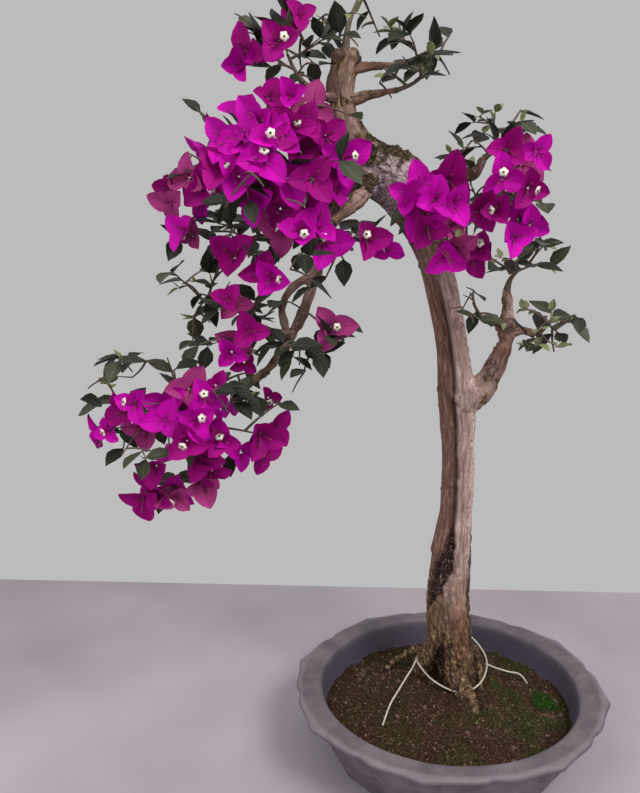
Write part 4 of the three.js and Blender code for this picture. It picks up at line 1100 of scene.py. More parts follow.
leafSize = {"length": 23, "width": 14, "fold": 1.6, "thickness": 0.9}
bractSize = {"length": 27, "width": 22, "fold": 3.2, "thickness": 0.9, "opening": 62, "cupRadius": 5, "cupDepth": 2}
growth = {
    "golden": math.pi * (3 - math.sqrt(5)), "bloomTries": 10, "bloomShrink": 0.96,
    "twigFoot": 1.5, "stemSegments": 6, "longShoot": 30, "internode": 19, "leafSpacing": 13, "leafToBloom": 17,
    "bloomSpacing": 24, "skin": 0.03, "gap": 0.3, "stemSteps": 16, "twigSteps": 9,
}
# each mass: the limb it leaves, its seed and stem, the spaces it may fill, the tips of its blooms and shoots and
# how many more of each the rule may add; for the finer growth, smaller blooms with their share of full size,
# leafy tips, the share of young growth and how leafy its twigs are
masses = {
    "foliage_apex_left": {
        "from": "bough_apex_left", "seed": 11, "stem": [(-147, 4, 620), (-152, 8, 632)],
        "leafTips": [(-138, -13, 620), (-127, 14, 613), (-142, 7, 613)],
        "spaces": [((-150, 6, 639), (52, 44, 38))],
        "also": [(-182, 9, 633, 0.9), (-161, -17, 632, 0.8), (-188, 12, 625, 0.7), (-144, -17, 650, 0.6)],
        "blooms": [(-170, 3, 630), (-144, 16, 656)],
        "shoots": [(-126, 6, 642), (-160, -6, 620)], "more": (1, 2), "young": 0.1, "leafy": 0.6,
    },
    "foliage_apex_top": {
        "from": "trunk", "seed": 23, "stem": [(-103, 10, 655), (-95, 14, 676)],
        "leafTips": [(-127, 16, 660), (-112, 6, 645), (-95, 8, 640), (-109, -12, 656), (-127, 27, 647)],
        "spaces": [((-96, 14, 668), (46, 46, 40))],
        "shoots": [(-120, 12, 664), (-82, 14, 684), (-92, -4, 646), (-116, 28, 652)],
        "more": (1, 3), "young": 0.3, "leafy": 0.6,
    },
    "foliage_apex_right": {
        "from": "bough_apex_right", "seed": 37, "stem": [(-50, 12, 633), (-36, 11, 640)],
        "spaces": [((-42, 12, 640), (54, 44, 34))],
        "shoots": [(-68, 9, 649), (-50, 6, 644), (-18, 12, 653), (-16, 8, 637)],
        "more": (1, 3), "young": 0.3, "leafy": 0.6,
    },
    "foliage_apex_low": {
        "from": "bough_apex_low", "seed": 41, "stem": [(-55, -11, 608), (-45, -10, 615)],
        "leafTips": [(-79, -1, 611), (-68, 3, 601)],
        "spaces": [((-45, -8, 612), (42, 40, 28))],
        "shoots": [(-30, 0, 622), (-52, -20, 618)], "more": (0, 2), "young": 0.3, "leafy": 0.8,
    },
    "foliage_shoulder": {
        "from": "bough_shoulder", "seed": 17, "stem": [(-150, -2, 546), (-174, 6, 550), (-196, 12, 548)],
        "leafTips": [(-187, -66, 531), (-175, -63, 522), (-203, -44, 509), (-145, -50, 510), (-159, -56, 514)],
        "spaces": [((-168, 4, 550), (106, 88, 74))],
        "also": [
            (-178, -44, 568, 0.9), (-166, -48, 558, 0.85), (-205, -36, 538, 0.9), (-187, -46, 555, 0.9),
            (-154, -45, 564, 0.85), (-156, -42, 530, 0.9), (-127, -34, 562, 0.8), (-123, -31, 540, 0.8),
            (-222, 7, 520, 0.85), (-192, -40, 532, 0.9), (-144, -41, 567, 0.8), (-175, -48, 542, 0.95),
            (-183, -28, 516, 0.8), (-161, -21, 511, 0.85), (-142, -17, 514, 0.85), (-247, 3, 517, 0.75),
            (-202, -40, 557, 0.8), (-152, -14, 594, 0.65), (-169, -13, 593, 0.65), (-232, 3, 536, 0.8),
            (-115, -6, 528, 0.7),
        ],
        "blooms": [
            (-159, -6, 590), (-188, 12, 585), (-199, -8, 553), (-218, -4, 528), (-246, 24, 530),
            (-138, -46, 530), (-113, -34, 546), (-146, -34, 552), (-173, -32, 528), (-134, -4, 590),
        ],
        "shoots": [(-180, -26, 574), (-205, 0, 508), (-232, 10, 556)], "more": (6, 5), "young": 0.04, "leafy": 0.3,
    },
    "foliage_back": {
        "from": "bough_back", "seed": 53, "stem": [(-108, 66, 560), (-122, 70, 564)],
        "spaces": [((-98, 84, 560), (62, 50, 48))],
        "blooms": [(-84, 92, 566), (-126, 96, 552), (-96, 96, 536)],
        "shoots": [(-112, 92, 580), (-70, 78, 548), (-110, 76, 538)], "more": (2, 2), "young": 0.1, "leafy": 0.5,
    },
    "foliage_shoulder_low": {
        "from": "bough_shoulder_low", "seed": 61, "stem": [(-140, -14, 494), (-165, -8, 490), (-190, 2, 490)],
        "leafTips": [(-149, -56, 474), (-156, -53, 464), (-137, -43, 455)],
        "spaces": [((-160, -2, 476), (122, 78, 52))],
        "also": [
            (-236, -7, 494, 0.8), (-168, -41, 459, 0.8), (-75, -10, 480, 0.7), (-134, -32, 497, 0.85),
            (-147, -41, 492, 0.8),
        ],
        "blooms": [
            (-232, 12, 492), (-159, -16, 494), (-128, -26, 484), (-176, -16, 464), (-95, -39, 486),
            (-198, 2, 474),
        ],
        "shoots": [(-206, -2, 500), (-124, -8, 456), (-108, -14, 470), (-147, -26, 474), (-184, -20, 498)],
        "more": (4, 5), "young": 0.04, "leafy": 0.34,
    },
    "foliage_cascade_left": {
        "from": "bough_cascade_spur", "seed": 71, "stem": [(-192, 6, 426), (-206, 14, 440)],
        "leafTips": [(-240, -8, 453), (-222, -9, 464), (-206, -9, 449), (-227, -23, 405)],
        "spaces": [((-204, 8, 418), (66, 58, 46)), ((-222, 20, 452), (52, 46, 38))],
        "also": [(-187, -23, 415, 0.75), (-202, -15, 398, 0.7), (-204, -13, 440, 0.6), (-192, 1, 387, 0.6)],
        "blooms": [(-199, 2, 434), (-196, -8, 406)],
        "shoots": [(-211, 20, 468), (-246, 28, 457), (-230, 24, 444), (-236, 22, 400), (-178, 4, 438)],
        "more": (2, 4), "young": 0.1, "leafy": 0.38,
    },
    "foliage_cascade_inner": {
        "from": "bough_cascade", "foot": (-151, 21, 404), "seed": 83, "stem": [(-149, 4, 397), (-142, -4, 398)],
        "leafTips": [(-163, -31, 401), (-148, -40, 405), (-148, -38, 389), (-152, -12, 362)],
        "spaces": [((-138, -4, 400), (52, 54, 48))],
        "blooms": [(-120, -18, 417)],
        "shoots": [(-168, -10, 400), (-152, -14, 406), (-126, -4, 392), (-142, -10, 378)],
        "more": (1, 4), "young": 0.03, "leafy": 0.55,
    },
    "foliage_cascade_tip": {
        "from": "bough_cascade", "seed": 167, "stem": [(-220, 8, 359), (-244, 14, 352), (-268, 22, 352)],
        "leafTips": [
            (-323, 5, 366), (-305, 9, 376), (-284, -6, 381), (-218, -31, 369), (-206, -37, 352),
            (-194, -24, 362), (-291, -35, 318), (-255, -44, 318),
        ],
        "spaces": [((-246, 8, 335), (114, 80, 78)), ((-262, 14, 290), (66, 56, 62))],
        "also": [
            (-265, -27, 306, 0.8), (-280, -12, 274, 0.9), (-265, -18, 280, 0.7), (-302, -19, 336, 0.6),
            (-169, 4, 327, 0.85), (-252, -16, 276, 0.75), (-279, -26, 358, 0.75), (-224, -29, 361, 0.8),
            (-239, -39, 330, 0.85), (-213, -33, 328, 0.75), (-232, -37, 346, 0.8), (-255, -38, 347, 0.8),
            (-172, 11, 353, 0.5), (-178, -2, 305, 0.8), (-197, -16, 312, 0.7), (-222, -12, 296, 0.7),
            (-216, -16, 370, 0.55),
        ],
        "blooms": [
            (-253, 18, 378), (-296, 18, 344), (-275, -2, 334), (-257, -10, 354), (-238, -8, 366),
            (-222, -24, 338), (-231, -14, 309), (-180, -16, 327), (-322, 34, 320), (-277, 16, 276),
            (-254, 4, 276), (-230, -4, 284),
        ],
        "shoots": [
            (-292, 32, 386), (-314, 30, 372), (-302, 24, 304), (-206, -2, 304), (-162, -6, 352), (-208, 4, 374),
        ],
        "more": (5, 4), "young": 0.06, "leafy": 0.3,
    },
    "foliage_right_front": {
        "from": "trunk", "foot": (-42, 18, 518), "seed": 151, "stem": [(-40, -14, 524), (-38, -28, 520)],
        "leafTips": [(-51, -61, 486)],
        "spaces": [((-38, -40, 520), (48, 46, 52))],
        "also": [
            (-24, -43, 484, 0.85), (-32, -41, 475, 0.8), (-49, -65, 514, 0.75), (-65, -48, 519, 0.7),
            (-37, -66, 511, 0.8), (-50, -52, 495, 0.75),
        ],
        "blooms": [(-54, -40, 527), (-52, -44, 506), (-31, -38, 531), (-30, -42, 496)],
        "shoots": [(-22, -18, 548), (-24, -44, 514)], "more": (0, 2), "young": 0.1, "leafy": 0.3,
    },
    "foliage_right_upper": {
        "from": "bough_right_upper", "seed": 241, "stem": [(14, -10, 558), (22, -10, 558)],
        "leafTips": [
            (-9, -26, 564), (-14, -22, 556), (2, -11, 585), (-7, -21, 532), (-4, -47, 527), (-26, 3, 554),
        ],
        "spaces": [((26, -10, 552), (60, 54, 54)), ((18, -28, 505), (50, 50, 58))],
        "also": [
            (-2, -20, 474, 0.85), (-4, -36, 483, 0.7), (14, -40, 555, 0.8), (29, -49, 526, 0.75),
            (-6, -46, 509, 0.8), (3, -54, 510, 0.7), (17, -54, 488, 0.75), (10, -43, 534, 0.8),
            (30, -55, 498, 0.7), (38, -40, 554, 0.7),
        ],
        "blooms": [(36, -19, 548), (30, -34, 503), (4, -31, 511), (-11, -36, 476)],
        "shoots": [(20, 3, 588), (42, 2, 595), (-2, 5, 570), (46, -4, 580), (10, -24, 532)],
        "more": (1, 5), "young": 0.3, "leafy": 0.55,
    },
    "foliage_right_low": {
        "from": "bough_right_low", "seed": 127, "stem": [(43, 5, 456), (50, 1, 466)],
        "leafTips": [(33, -23, 470), (48, -28, 480)],
        "spaces": [((54, 0, 470), (46, 44, 40))],
        "shoots": [(37, -2, 465), (60, -3, 468), (66, -10, 486), (48, 20, 474)],
        "more": (1, 3), "young": 0.35, "leafy": 0.55,
    },
    "foliage_right_fork": {
        "from": "bough_right_fork", "seed": 131, "stem": [(72, -4, 412), (78, -4, 419)],
        "leafTips": [(53, -27, 414), (65, -28, 404), (69, -31, 424)],
        "spaces": [((74, -3, 416), (48, 44, 36))],
        "shoots": [(56, 2, 431), (92, -10, 421), (70, -12, 402), (86, -8, 408), (76, 14, 426)],
        "more": (1, 2), "young": 0.45, "leafy": 0.6,
    },
    "foliage_right_inner": {
        "from": "bough_right_inner", "seed": 139, "stem": [(14, 4, 428), (8, 0, 436)],
        "leafTips": [(-3, -21, 442), (-8, -18, 431), (4, -23, 424)],
        "spaces": [((10, 0, 434), (36, 38, 32))],
        "shoots": [(4, -4, 444), (12, -4, 428), (14, 16, 446)], "more": (0, 2), "young": 0.05, "leafy": 0.6,
    },
}
fine = {
    "sprigEvery": 17, "sprig": (9, 19), "leafEvery": 7.5, "leaf": (17, 27), "youngLeaf": (7, 13),
    "leafGap": 10, "bloomGap": 12, "leafClear": 1.5, "bloomClear": 6, "twigClear": 1.4,
    "bract": (22, 26.5), "opening": (44, 74), "tube": (9, 13),
    "starShare": 0.34, "star": 7.7, "eye": 2.3, "darkLeaves": 0.62, "vivid": 0.54, "deep": 0.42,
    "sunward": (-0.1, -1, 0.15), "sunwardShare": 0.7, "sunwardBefore": 25,
    "stemTip": 1.3, "mainTwig": (1.25, 0.65), "companionTwig": (0.8, 0.5), "leafyTwig": (0.85, 0.55),
    "sprigTwig": (0.75, 0.68, 0.6, 0.5, 0.4), "leastLeafyReach": 14,
    "gapAlong": (0.12, 0.975, 0.16),  # the way that the gaps are pruned through the crown
    "bloomGaps": [((-96, 32, 580), 16), ((-265, 52, 381), 20), ((-296, 56, 368), 16), ((-269, 53, 557), 20)],
    "leafGaps": [((-66, 20, 590), 22), ((10, 12, 640), 26), ((-66, 18, 560), 18)],
    "fadedAt": [(-234, 13, 491), (-127, 5, 588), (-199, 9, 435), (-120, -16, 417), (-228, -3, 281),
                (-30, -42, 495), (4, -31, 510)],
    "fadedReach": 16,
}


def randomSource(seed):
    state = seed

    def draw():
        nonlocal state
        state = state * 16807 % 2147483647
        return state / 2147483647
    return draw


def within(span, share):
    return span[0] + (span[1] - span[0]) * share


def depthInMass(mass, point):  # 0 at the heart of the mass, 1 at its skin
    return min(math.sqrt(sum(((point[i] - at[i]) / reach[i]) ** 2 for i in range(3)))
               for at, reach in mass["spaces"])


def keepsToSpace(mass, points):
    for point in points:
        own = depthInMass(mass, point)
        if own >= 1:
            return False
        if any(own + growth["skin"] >= depthInMass(other, point) for other in masses.values() if other is not mass):
            return False
    return True


limbBalls = [limbSamples(limb, 3) for limb in (trunkStations, *boughStations.values())]
limbBallAt = np.concatenate([at for at, _, _ in limbBalls])
limbBallRadius = np.concatenate([radius for _, _, radius in limbBalls])


def clearOfLimbs(points, triangles):
    middle = sum(points, Vector()) / len(points)
    away = np.linalg.norm(limbBallAt - np.array(middle), axis=1)
    near = np.nonzero(away < limbBallRadius + bractSize["length"] + 4)[0]
    balls = [(Vector(limbBallAt[index]), limbBallRadius[index] + 3 * growth["gap"]) for index in near]
    return all((geometry.closest_point_on_tri(at, points[a], points[b], points[c]) - at).length > reach
               for a, b, c in triangles for at, reach in balls)


def clearPath(path, clearance):
    for start, end in zip(path, path[1:]):
        line = np.array(end - start)
        share = np.clip(((limbBallAt - np.array(start)) @ line) / max(line @ line, 1e-9), 0, 1)
        nearest = np.array(start) + share[:, None] * line
        if (np.linalg.norm(limbBallAt - nearest, axis=1) < limbBallRadius + clearance).any():
            return False
    return True


def turned(direction, angle, axis):
    return Matrix.Rotation(angle, 3, axis) @ direction


def perpendicularTo(direction):
    helper = Vector((1, 0, 0)) if abs(direction.z) > 0.8 else Vector((0, 0, 1))
    return direction.cross(helper).normalized()


def onBlade(base, axis, side, up, length, width):  # gives the places on a blade from shares of its size
    def place(along, across, lift):
        return base + axis * (along * length) + side * (across * width) + up * lift
    return place


def leafTest(base, axis, up, length, width):
    up = (up - axis * up.dot(axis)).normalized()
    place, fold = onBlade(base, axis, up.cross(axis), up, length, width), leafSize["fold"]
    points = [place(0, 0, 0), place(0.42, -0.5, fold), place(1, 0, 0), place(0.42, 0.5, fold),
              place(0.5, 0, leafSize["thickness"])]
    return points, [(0, 1, 4), (1, 2, 4), (2, 3, 4), (3, 0, 4), (0, 2, 1), (0, 3, 2)]


def bloomTest(base, face, roll, length, width):
    start, opening = perpendicularTo(face), math.radians(bractSize["opening"])
    thick, fold = bractSize["thickness"], bractSize["fold"]
    points = [base + face * thick, base - face * (3 * thick)]
    triangles = []
    for bract in range(3):
        out = turned(start, roll + bract * 2 * math.pi / 3, face)
        side = face.cross(out)
        axis = face * math.cos(opening) + out * math.sin(opening)
        place = onBlade(base, axis, side, axis.cross(side), length, width)
        corner = len(points)
        points += [place(0.42, -0.5, fold), place(1, 0, 0), place(0.42, 0.5, fold),
                   base + turned(out, math.pi / 3, face) * bractSize["cupRadius"] + face * bractSize["cupDepth"],
                   place(0.5, 0, fold + thick)]
        valley = 2 + ((bract + 2) % 3) * 5 + 3
        rim, rib = [valley, corner, corner + 1, corner + 2, corner + 3], corner + 4
        triangles += [(rim[step], rim[step + 1], rib) for step in range(4)]
        triangles += [(rim[4], 0, rib), (0, rim[0], rib), (1, rim[3], rim[1]), (rim[3], rim[2], rim[1]),
                      (1, rim[1], rim[0]), (1, rim[4], rim[3])]
    return points, triangles


def arcBetween(start, end, lift, segments):
    control = (start + end) / 2 + lift
    shares = [step / segments for step in range(segments + 1)]
    return [start * (1 - t) ** 2 + control * (2 * t * (1 - t)) + end * t ** 2 for t in shares]


def moreTips(mass, tips, random):
    added, blooms, wanted = [], 0, sum(mass["more"])
    tries = 6 * wanted
    for index in range(tries):
        if len(added) >= wanted:
            break
        at, reach = mass["spaces"][index % len(mass["spaces"])]
        height = 1 - (2 * index + 1) / tries
        ring = math.sqrt(1 - height * height)
        out = (ring * math.cos(index * growth["golden"]), ring * math.sin(index * growth["golden"]), height)
        share = 0.62 + 0.26 * random()
        tip = Vector([at[i] + out[i] * reach[i] * share for i in range(3)])
        crowded = any((other - tip).length < growth["bloomSpacing"] for other, _ in tips + added)
        if tip.y > at[1] - 0.15 * reach[1] and not crowded:
            bloom = len(added) % 2 == 0 and blooms < mass["more"][0]
            blooms += bloom
            added.append((tip, bloom))
    return added


crop = {"twigs": [], "leaves": [], "blooms": []}


def addTwig(path, radii):  # tapers from the first radius to the last
    shares = [step / (len(path) - 1) for step in range(len(path))]
    crop["twigs"].append((path, [radii[0] + (radii[-1] - radii[0]) * share for share in shares]))


def nearestOn(paths, at):
    return min((point for path, _ in paths for point in path), key=lambda point: (point - at).length)


def growMass(mass):
    random = randomSource(mass["seed"])
    heart, reach = (Vector(part) for part in mass["spaces"][0])
    limb = trunkStations if mass["from"] == "trunk" else boughStations[mass["from"]]
    route = [Vector(mass.get("foot", limb[-1][0]))] + [Vector(at) for at in mass["stem"]]
    stem = [catmullRom(route, step / growth["stemSegments"]) for step in range(growth["stemSegments"] + 1)]
    foot, steps = 2.6 if "foot" in mass else min(limb[-1][1], 4), growth["stemSteps"]
    smoothStem = [catmullRom(route, step / steps) for step in range(steps + 1)]
    crop["twigs"].append((smoothStem, [foot * 0.95 + (fine["stemTip"] - foot) * (step / steps) ** 0.7
                                       for step in range(steps + 1)]))
    joints, taken, bloomsAt, paths = stem[2:-1], [], [], [(smoothStem[5:], 40)]

    def fits(shape):
        return keepsToSpace(mass, shape[0][1:]) and clearOfLimbs(*shape)

    def addLeaves(path, length):
        for leaf in range(math.floor(length / growth["internode"]) + 1):
            place = (len(path) - 1) * (1 - (leaf * growth["internode"] + 3) / max(length, growth["internode"]))
            turn = leaf * growth["golden"] + random() * 1.2
            scale = 0.8 + 0.35 * random()
            if place <= 0.2:
                continue
            index = min(math.floor(place), len(path) - 2)
            base = path[index].lerp(path[index + 1], place - index)
            along = (path[index + 1] - path[index]).normalized()
            out = turned(perpendicularTo(along), turn, along)
            axis = (out * 0.85 + along * 0.5).normalized()
            up = Vector((0, -0.35, 1)) + out * 0.3
            middle = base + axis * (leafSize["length"] * scale * 0.5)
            if any((other - middle).length < growth["leafSpacing"] for other in taken):
                continue
            if any((bloom - middle).length < growth["leafToBloom"] for bloom in bloomsAt):
                continue
            if not fits(leafTest(base, axis, up, leafSize["length"] * scale, leafSize["width"] * scale)):
                continue
            taken.append(middle)
            if inTheOpen(middle):
                crop["leaves"].append((base, axis, up, leafSize["length"] * scale, False))

    def addBloom(at, along):
        outward = Vector([(at[i] - heart[i]) / reach[i] for i in range(3)])
        for attempt in range(growth["bloomTries"]):
            face = (outward + Vector((random() - 0.5, -0.5, random() - 0.6))).normalized()
            face = (face + along * 0.35).normalized()
            roll = random() * 2 * math.pi
            scale = (0.85 + 0.25 * random()) * growth["bloomShrink"] ** attempt
            if fits(bloomTest(at - face, face, roll, bractSize["length"] * scale, bractSize["width"] * scale)):
                bloomsAt.append(at)
                if inTheOpen(at, "bloomGaps"):
                    crop["blooms"].append((at - face, turnedSunward(at, face), roll, scale))
                return

    mainTips = [(Vector(at), True) for at in mass.get("blooms", ())]
    mainTips += [(Vector(at), False) for at in mass["shoots"]]
    tips = mainTips + moreTips(mass, mainTips, random)
    tips.sort(key=lambda tip: min((joint - tip[0]).length for joint in joints))
    for tip, bloom in tips:
        root = min(joints, key=lambda joint: (joint - tip).length)
        length = (root - tip).length
        lift = Vector((random() - 0.5, random() - 0.5, 0.6 * random())) * (length * 0.3)
        path = arcBetween(root, tip, lift, 3 if length > growth["longShoot"] else 2)
        inside = all(depthInMass(mass, point) < 1 for point in path[1:])
        if not inside or not clearPath(path, growth["twigFoot"] + growth["gap"]):
            continue
        smoothPath = arcBetween(root, tip, lift, growth["twigSteps"])
        addTwig(smoothPath, fine["mainTwig"])
        paths.append((smoothPath, length))
        joints += path[1:-1]
        if bloom:
            addBloom(tip, (path[-1] - path[-2]).normalized())
        addLeaves(path, length)
    growFiner(mass, paths, bloomsAt, taken, randomSource(mass["seed"] * 7 + 3))


def inTheOpen(point, kind="leafGaps"):  # outside the gaps in the crown
    for at, reach in fine[kind]:
        away = point - Vector(at)
        along = Vector(fine["gapAlong"]).normalized()
        if (away - along * away.dot(along)).length < reach:
            return False
    return True


def turnedSunward(at, face):  # blooms on the sunny side look out of the crown
    if at.y > fine["sunwardBefore"]:
        return face
    return (face + Vector(fine["sunward"]) * fine["sunwardShare"]).normalized()


def clearPoint(point, clearance):
    return (np.linalg.norm(limbBallAt - np.array(point), axis=1) > limbBallRadius + clearance).all()


def growFiner(mass, paths, bloomsAt, taken, random):
    leafSpots, bloomSpots = list(taken), list(bloomsAt)

    def addLeaf(base, along, turn, young):
        out = turned(perpendicularTo(along), turn, along)
        axis = (out * 0.8 + along * (0.35 + 0.5 * random()) + Vector((0, 0, 0.25))).normalized()
        up = Vector((0, -0.45, 1)) + out * 0.3 + Vector((random() - 0.5, random() - 0.5, 0)) * 0.7
        length = within(fine["youngLeaf"] if young else fine["leaf"], random())
        middle, tip = base + axis * (length * 0.55), base + axis * length
        spaced = all((other - middle).length > fine["leafGap"] * (0.6 if young else 1) for other in leafSpots)
        free = all((other - middle).length > fine["bloomGap"] for other in bloomSpots)
        if not (spaced and free and depthInMass(mass, tip) < 1.04 and inTheOpen(middle)):
            return
        if clearPoint(middle, fine["leafClear"]) and clearPoint(tip, fine["leafClear"]):
            leafSpots.append(middle)
            crop["leaves"].append((base, axis, up, length, young))

    def addCompanion(at, scale):
        if depthInMass(mass, at) > 0.97 or not clearPoint(at, fine["bloomClear"]):
            return
        parent = nearestOn(paths, at)
        face = (at - Vector(mass["spaces"][0][0])).normalized()
        face = (face + Vector((random() - 0.5, -0.6, random() - 0.6))).normalized()
        face = turnedSunward(at, face)
        crop["blooms"].append((at, face, random() * 2 * math.pi, scale))
        bloomSpots.append(at)
        addTwig(arcBetween(parent, at - face * 2, -face * (parent - at).length * 0.3, 6), fine["companionTwig"])

    for x, y, z, scale in mass.get("also", ()):
        addCompanion(Vector((x, y, z)), scale)
    for tip in map(Vector, mass.get("leafTips", ())):
        parent = nearestOn(paths, tip)
        reach = (parent - tip).length
        path = arcBetween(parent, tip, Vector((0, 0, 0.15 * reach)), 6)
        addTwig(path, fine["leafyTwig"])
        paths.append((path, max(reach, fine["leastLeafyReach"])))
    for path, length in paths:
        sprigs = max(2, round(length / fine["sprigEvery"]))
        for number in range(sprigs):
            share = 0.3 + 0.7 * (number + 0.4 * random()) / (sprigs - 1 + 0.4)
            index = min(int(share * (len(path) - 1)), len(path) - 2)
            foot = path[index].lerp(path[index + 1], min(share * (len(path) - 1) - index, 1))
            along = (path[index + 1] - path[index]).normalized()
            out = turned(perpendicularTo(along), number * growth["golden"] + random(), along)
            reach = within(fine["sprig"], random())
            tip = foot + (out * 0.75 + along * 0.6 + Vector((0, 0, 0.2))).normalized() * reach
            sprig = arcBetween(foot, tip, Vector((random() - 0.5, random() - 0.5, random())) * (reach * 0.2), 4)
            bare = random() > mass["leafy"]
            clear = clearPath(sprig[1:], fine["twigClear"]) and inTheOpen(tip)
            if bare or depthInMass(mass, tip) > 0.96 or not clear:
                continue
            crop["twigs"].append((sprig, fine["sprigTwig"]))
            young = random() < mass["young"]
            for leaf in range(round(reach / fine["leafEvery"]) + 2):
                place = 4 * min(0.3 + leaf * fine["leafEvery"] / reach, 1)
                knot = min(int(place), 3)
                addLeaf(sprig[knot].lerp(sprig[knot + 1], place - knot), (tip - foot).normalized(),
                        leaf * growth["golden"] + random(), young or place > 3.9 and random() < mass["young"])


for mass in masses.values():
    growMass(mass)


# shapes of leaf, bract and flower; +X runs from foot to tip, +Z is the upper side

leafShape = {
    "outline": ((0, 0), (0.06, 0.1), (0.2, 0.36), (0.4, 0.5), (0.6, 0.44), (0.8, 0.24), (0.93, 0.08), (1, 0)),
    "width": 0.66, "across": 4, "rows": 6, "thick": 0.016, "fold": 0.1, "droop": 0.14, "ripple": 0.015,
}
bractShape = {
    "outline": ((0, 0), (0.04, 0.22), (0.14, 0.42), (0.3, 0.5), (0.48, 0.5), (0.66, 0.43), (0.82, 0.29), (0.94, 0.12),
                (1, 0)),
    "width": 0.86, "across": 6, "rows": 7, "thick": 0.011, "fold": 0.2, "droop": 0.16, "ripple": 0.045,
}


def bladeMesh(name, shape, variant):  # a thin closed blade, folded along its midrib
    rand = randomSource(97 * variant + 5)
    bend, twist, wave, phase = rand() - 0.3, rand() - 0.5, 0.6 + 0.9 * rand(), rand() * 6
    stations, halves = zip(*shape["outline"])
    columns, rows = shape["across"], shape["rows"]
    points, marks = [], []

    def place(along, side, layer):
        half = float(np.interp(along, stations, halves)) * shape["width"]
        lift = shape["fold"] * abs(side) ** 1.5 * half / shape["width"] * 2
        lift -= shape["droop"] * (1 + bend) * along ** 2
        lift += shape["ripple"] * wave * side ** 2 * math.sin(7 * along + phase + 2 * side)
        lift += 0.12 * twist * side * half * along
        points.append((along, side * half, lift + layer * shape["thick"] / 2))
        marks.append((0.5 + side / 2, along))
        return len(points) - 1

    foot, tip = place(0, 0, 0), place(1, 0, 0)
    rims, layers = {}, []
    for layer in (1, -1):
        grid = []
        for row in range(1, rows):
            along = (1 - math.cos(math.pi * row / rows)) / 2
            line = []
            for column in range(columns + 1):
                side = 2 * column / columns - 1
                if abs(side) == 1:
                    if (row, side) not in rims:
                        rims[row, side] = place(along, side, 0)
                    line.append(rims[row, side])
                else:
                    line.append(place(along, side, layer))
            grid.append(line)
        layers.append(grid)
    faces = []
    for upper, grid in zip((True, False), layers):
        for column in range(columns):
            fan = [(foot, grid[0][column + 1], grid[0][column]), (tip, grid[-1][column], grid[-1][column + 1])]
            cells = [(line[column], line[column + 1], after[column + 1], after[column])
                     for line, after in zip(grid, grid[1:])]
            faces += fan + cells if upper else [tuple(reversed(face)) for face in fan + cells]
    return shapeMesh(name, points, faces, marks, {foot, tip, *rims.values()})


def shapeMesh(name, points, faces, marks, rim):
    blade = looseShape(name, points, faces)
    layer = blade.data.uv_layers.new(name="UVMap")
    for corner in blade.data.loops:
        layer.data[corner.index].uv = marks[corner.vertex_index]
    for edge in blade.data.edges:
        edge.use_edge_sharp = all(index in rim for index in edge.vertices)
    blade.data.update()
    return blade


def turnedShape(name, profile, sides):  # a solid of revolution about +X from (along, radius) pairs
    points, faces = [(profile[0][0], 0, 0)], []
    for along, radius in profile[1:-1]:
        turns = [2 * math.pi * side / sides for side in range(sides)]
        points += [(along, radius * math.cos(turn), radius * math.sin(turn)) for turn in turns]
    points.append((profile[-1][0], 0, 0))
    last = len(points) - 1
    for side in range(sides):
        after = (side + 1) % sides
        faces.append((0, 1 + after, 1 + side))
        for ring in range(len(profile) - 3):
            start = 1 + ring * sides
            faces.append((start + side, start + after, start + sides + after, start + sides + side))
        faces.append((last, last - sides + side, last - sides + after))
    return looseShape(name, points, faces)


starSet = {"lobes": 5, "reach": (0.5, 0.47, 0.39, 0.47), "throat": (0.02, -0.12), "notch": 0.03, "lobeTip": 0.06}


def starShape(name):  # the open end of a flower tube: notched lobes round a throat
    points, faces, steps = [(along, 0, 0) for along in starSet["throat"]], [], starSet["lobes"] * 4
    for step in range(steps):
        reach, angle = starSet["reach"][step % 4], 2 * math.pi * step / steps
        along = starSet["notch"] if step % 4 else starSet["lobeTip"]
        points.append((along, reach * math.cos(angle), reach * math.sin(angle)))
    for step in range(steps):
        here, after = 2 + step, 2 + (step + 1) % steps
        faces += [(0, here, after), (1, after, here)]
    return looseShape(name, points, faces)


# foliage finishes

foliageSet = {  # tones of blade and veins
    "leaves": (("darkLeaf", "#20251a", "#3d4232"), ("dullLeaf", "#373b2a", "#585c46"),
               ("youngLeaf", "#757a50", "#989c74")),
    "bracts": (("vividBract", "#be00a1", "#9a0082"), ("deepBract", "#990074", "#78005c"),
               ("fadedBract", "#ab3c7e", "#8d2a66")),
    "leafFinish": (0.5, 0.3, 5), "bractFinish": (0.66, 0.12, 7),  # roughness, specular and side veins
    "tube": ("flowerTube", "#7d2a50", 0.7), "star": ("creamFlower", "#f8f5e2", 0.6, 0.03),
    "eye": ("flowerEye", "#4a3a1c", 0.7), "twig": ("youngBark", "#5f5347", 0.85),
    "openTube": ((0, 0), (0, 0.05), (0.2, 0.085), (0.75, 0.055), (1, 0.09), (1, 0)),
    "closedTube": ((0, 0), (0, 0.05), (0.2, 0.08), (0.7, 0.05), (0.9, 0.08), (1, 0)),
    "eyeball": ((-0.5, 0), (-0.3, 0.4), (0.1, 0.5), (0.3, 0.3), (0.4, 0)), "sides": 6,
}


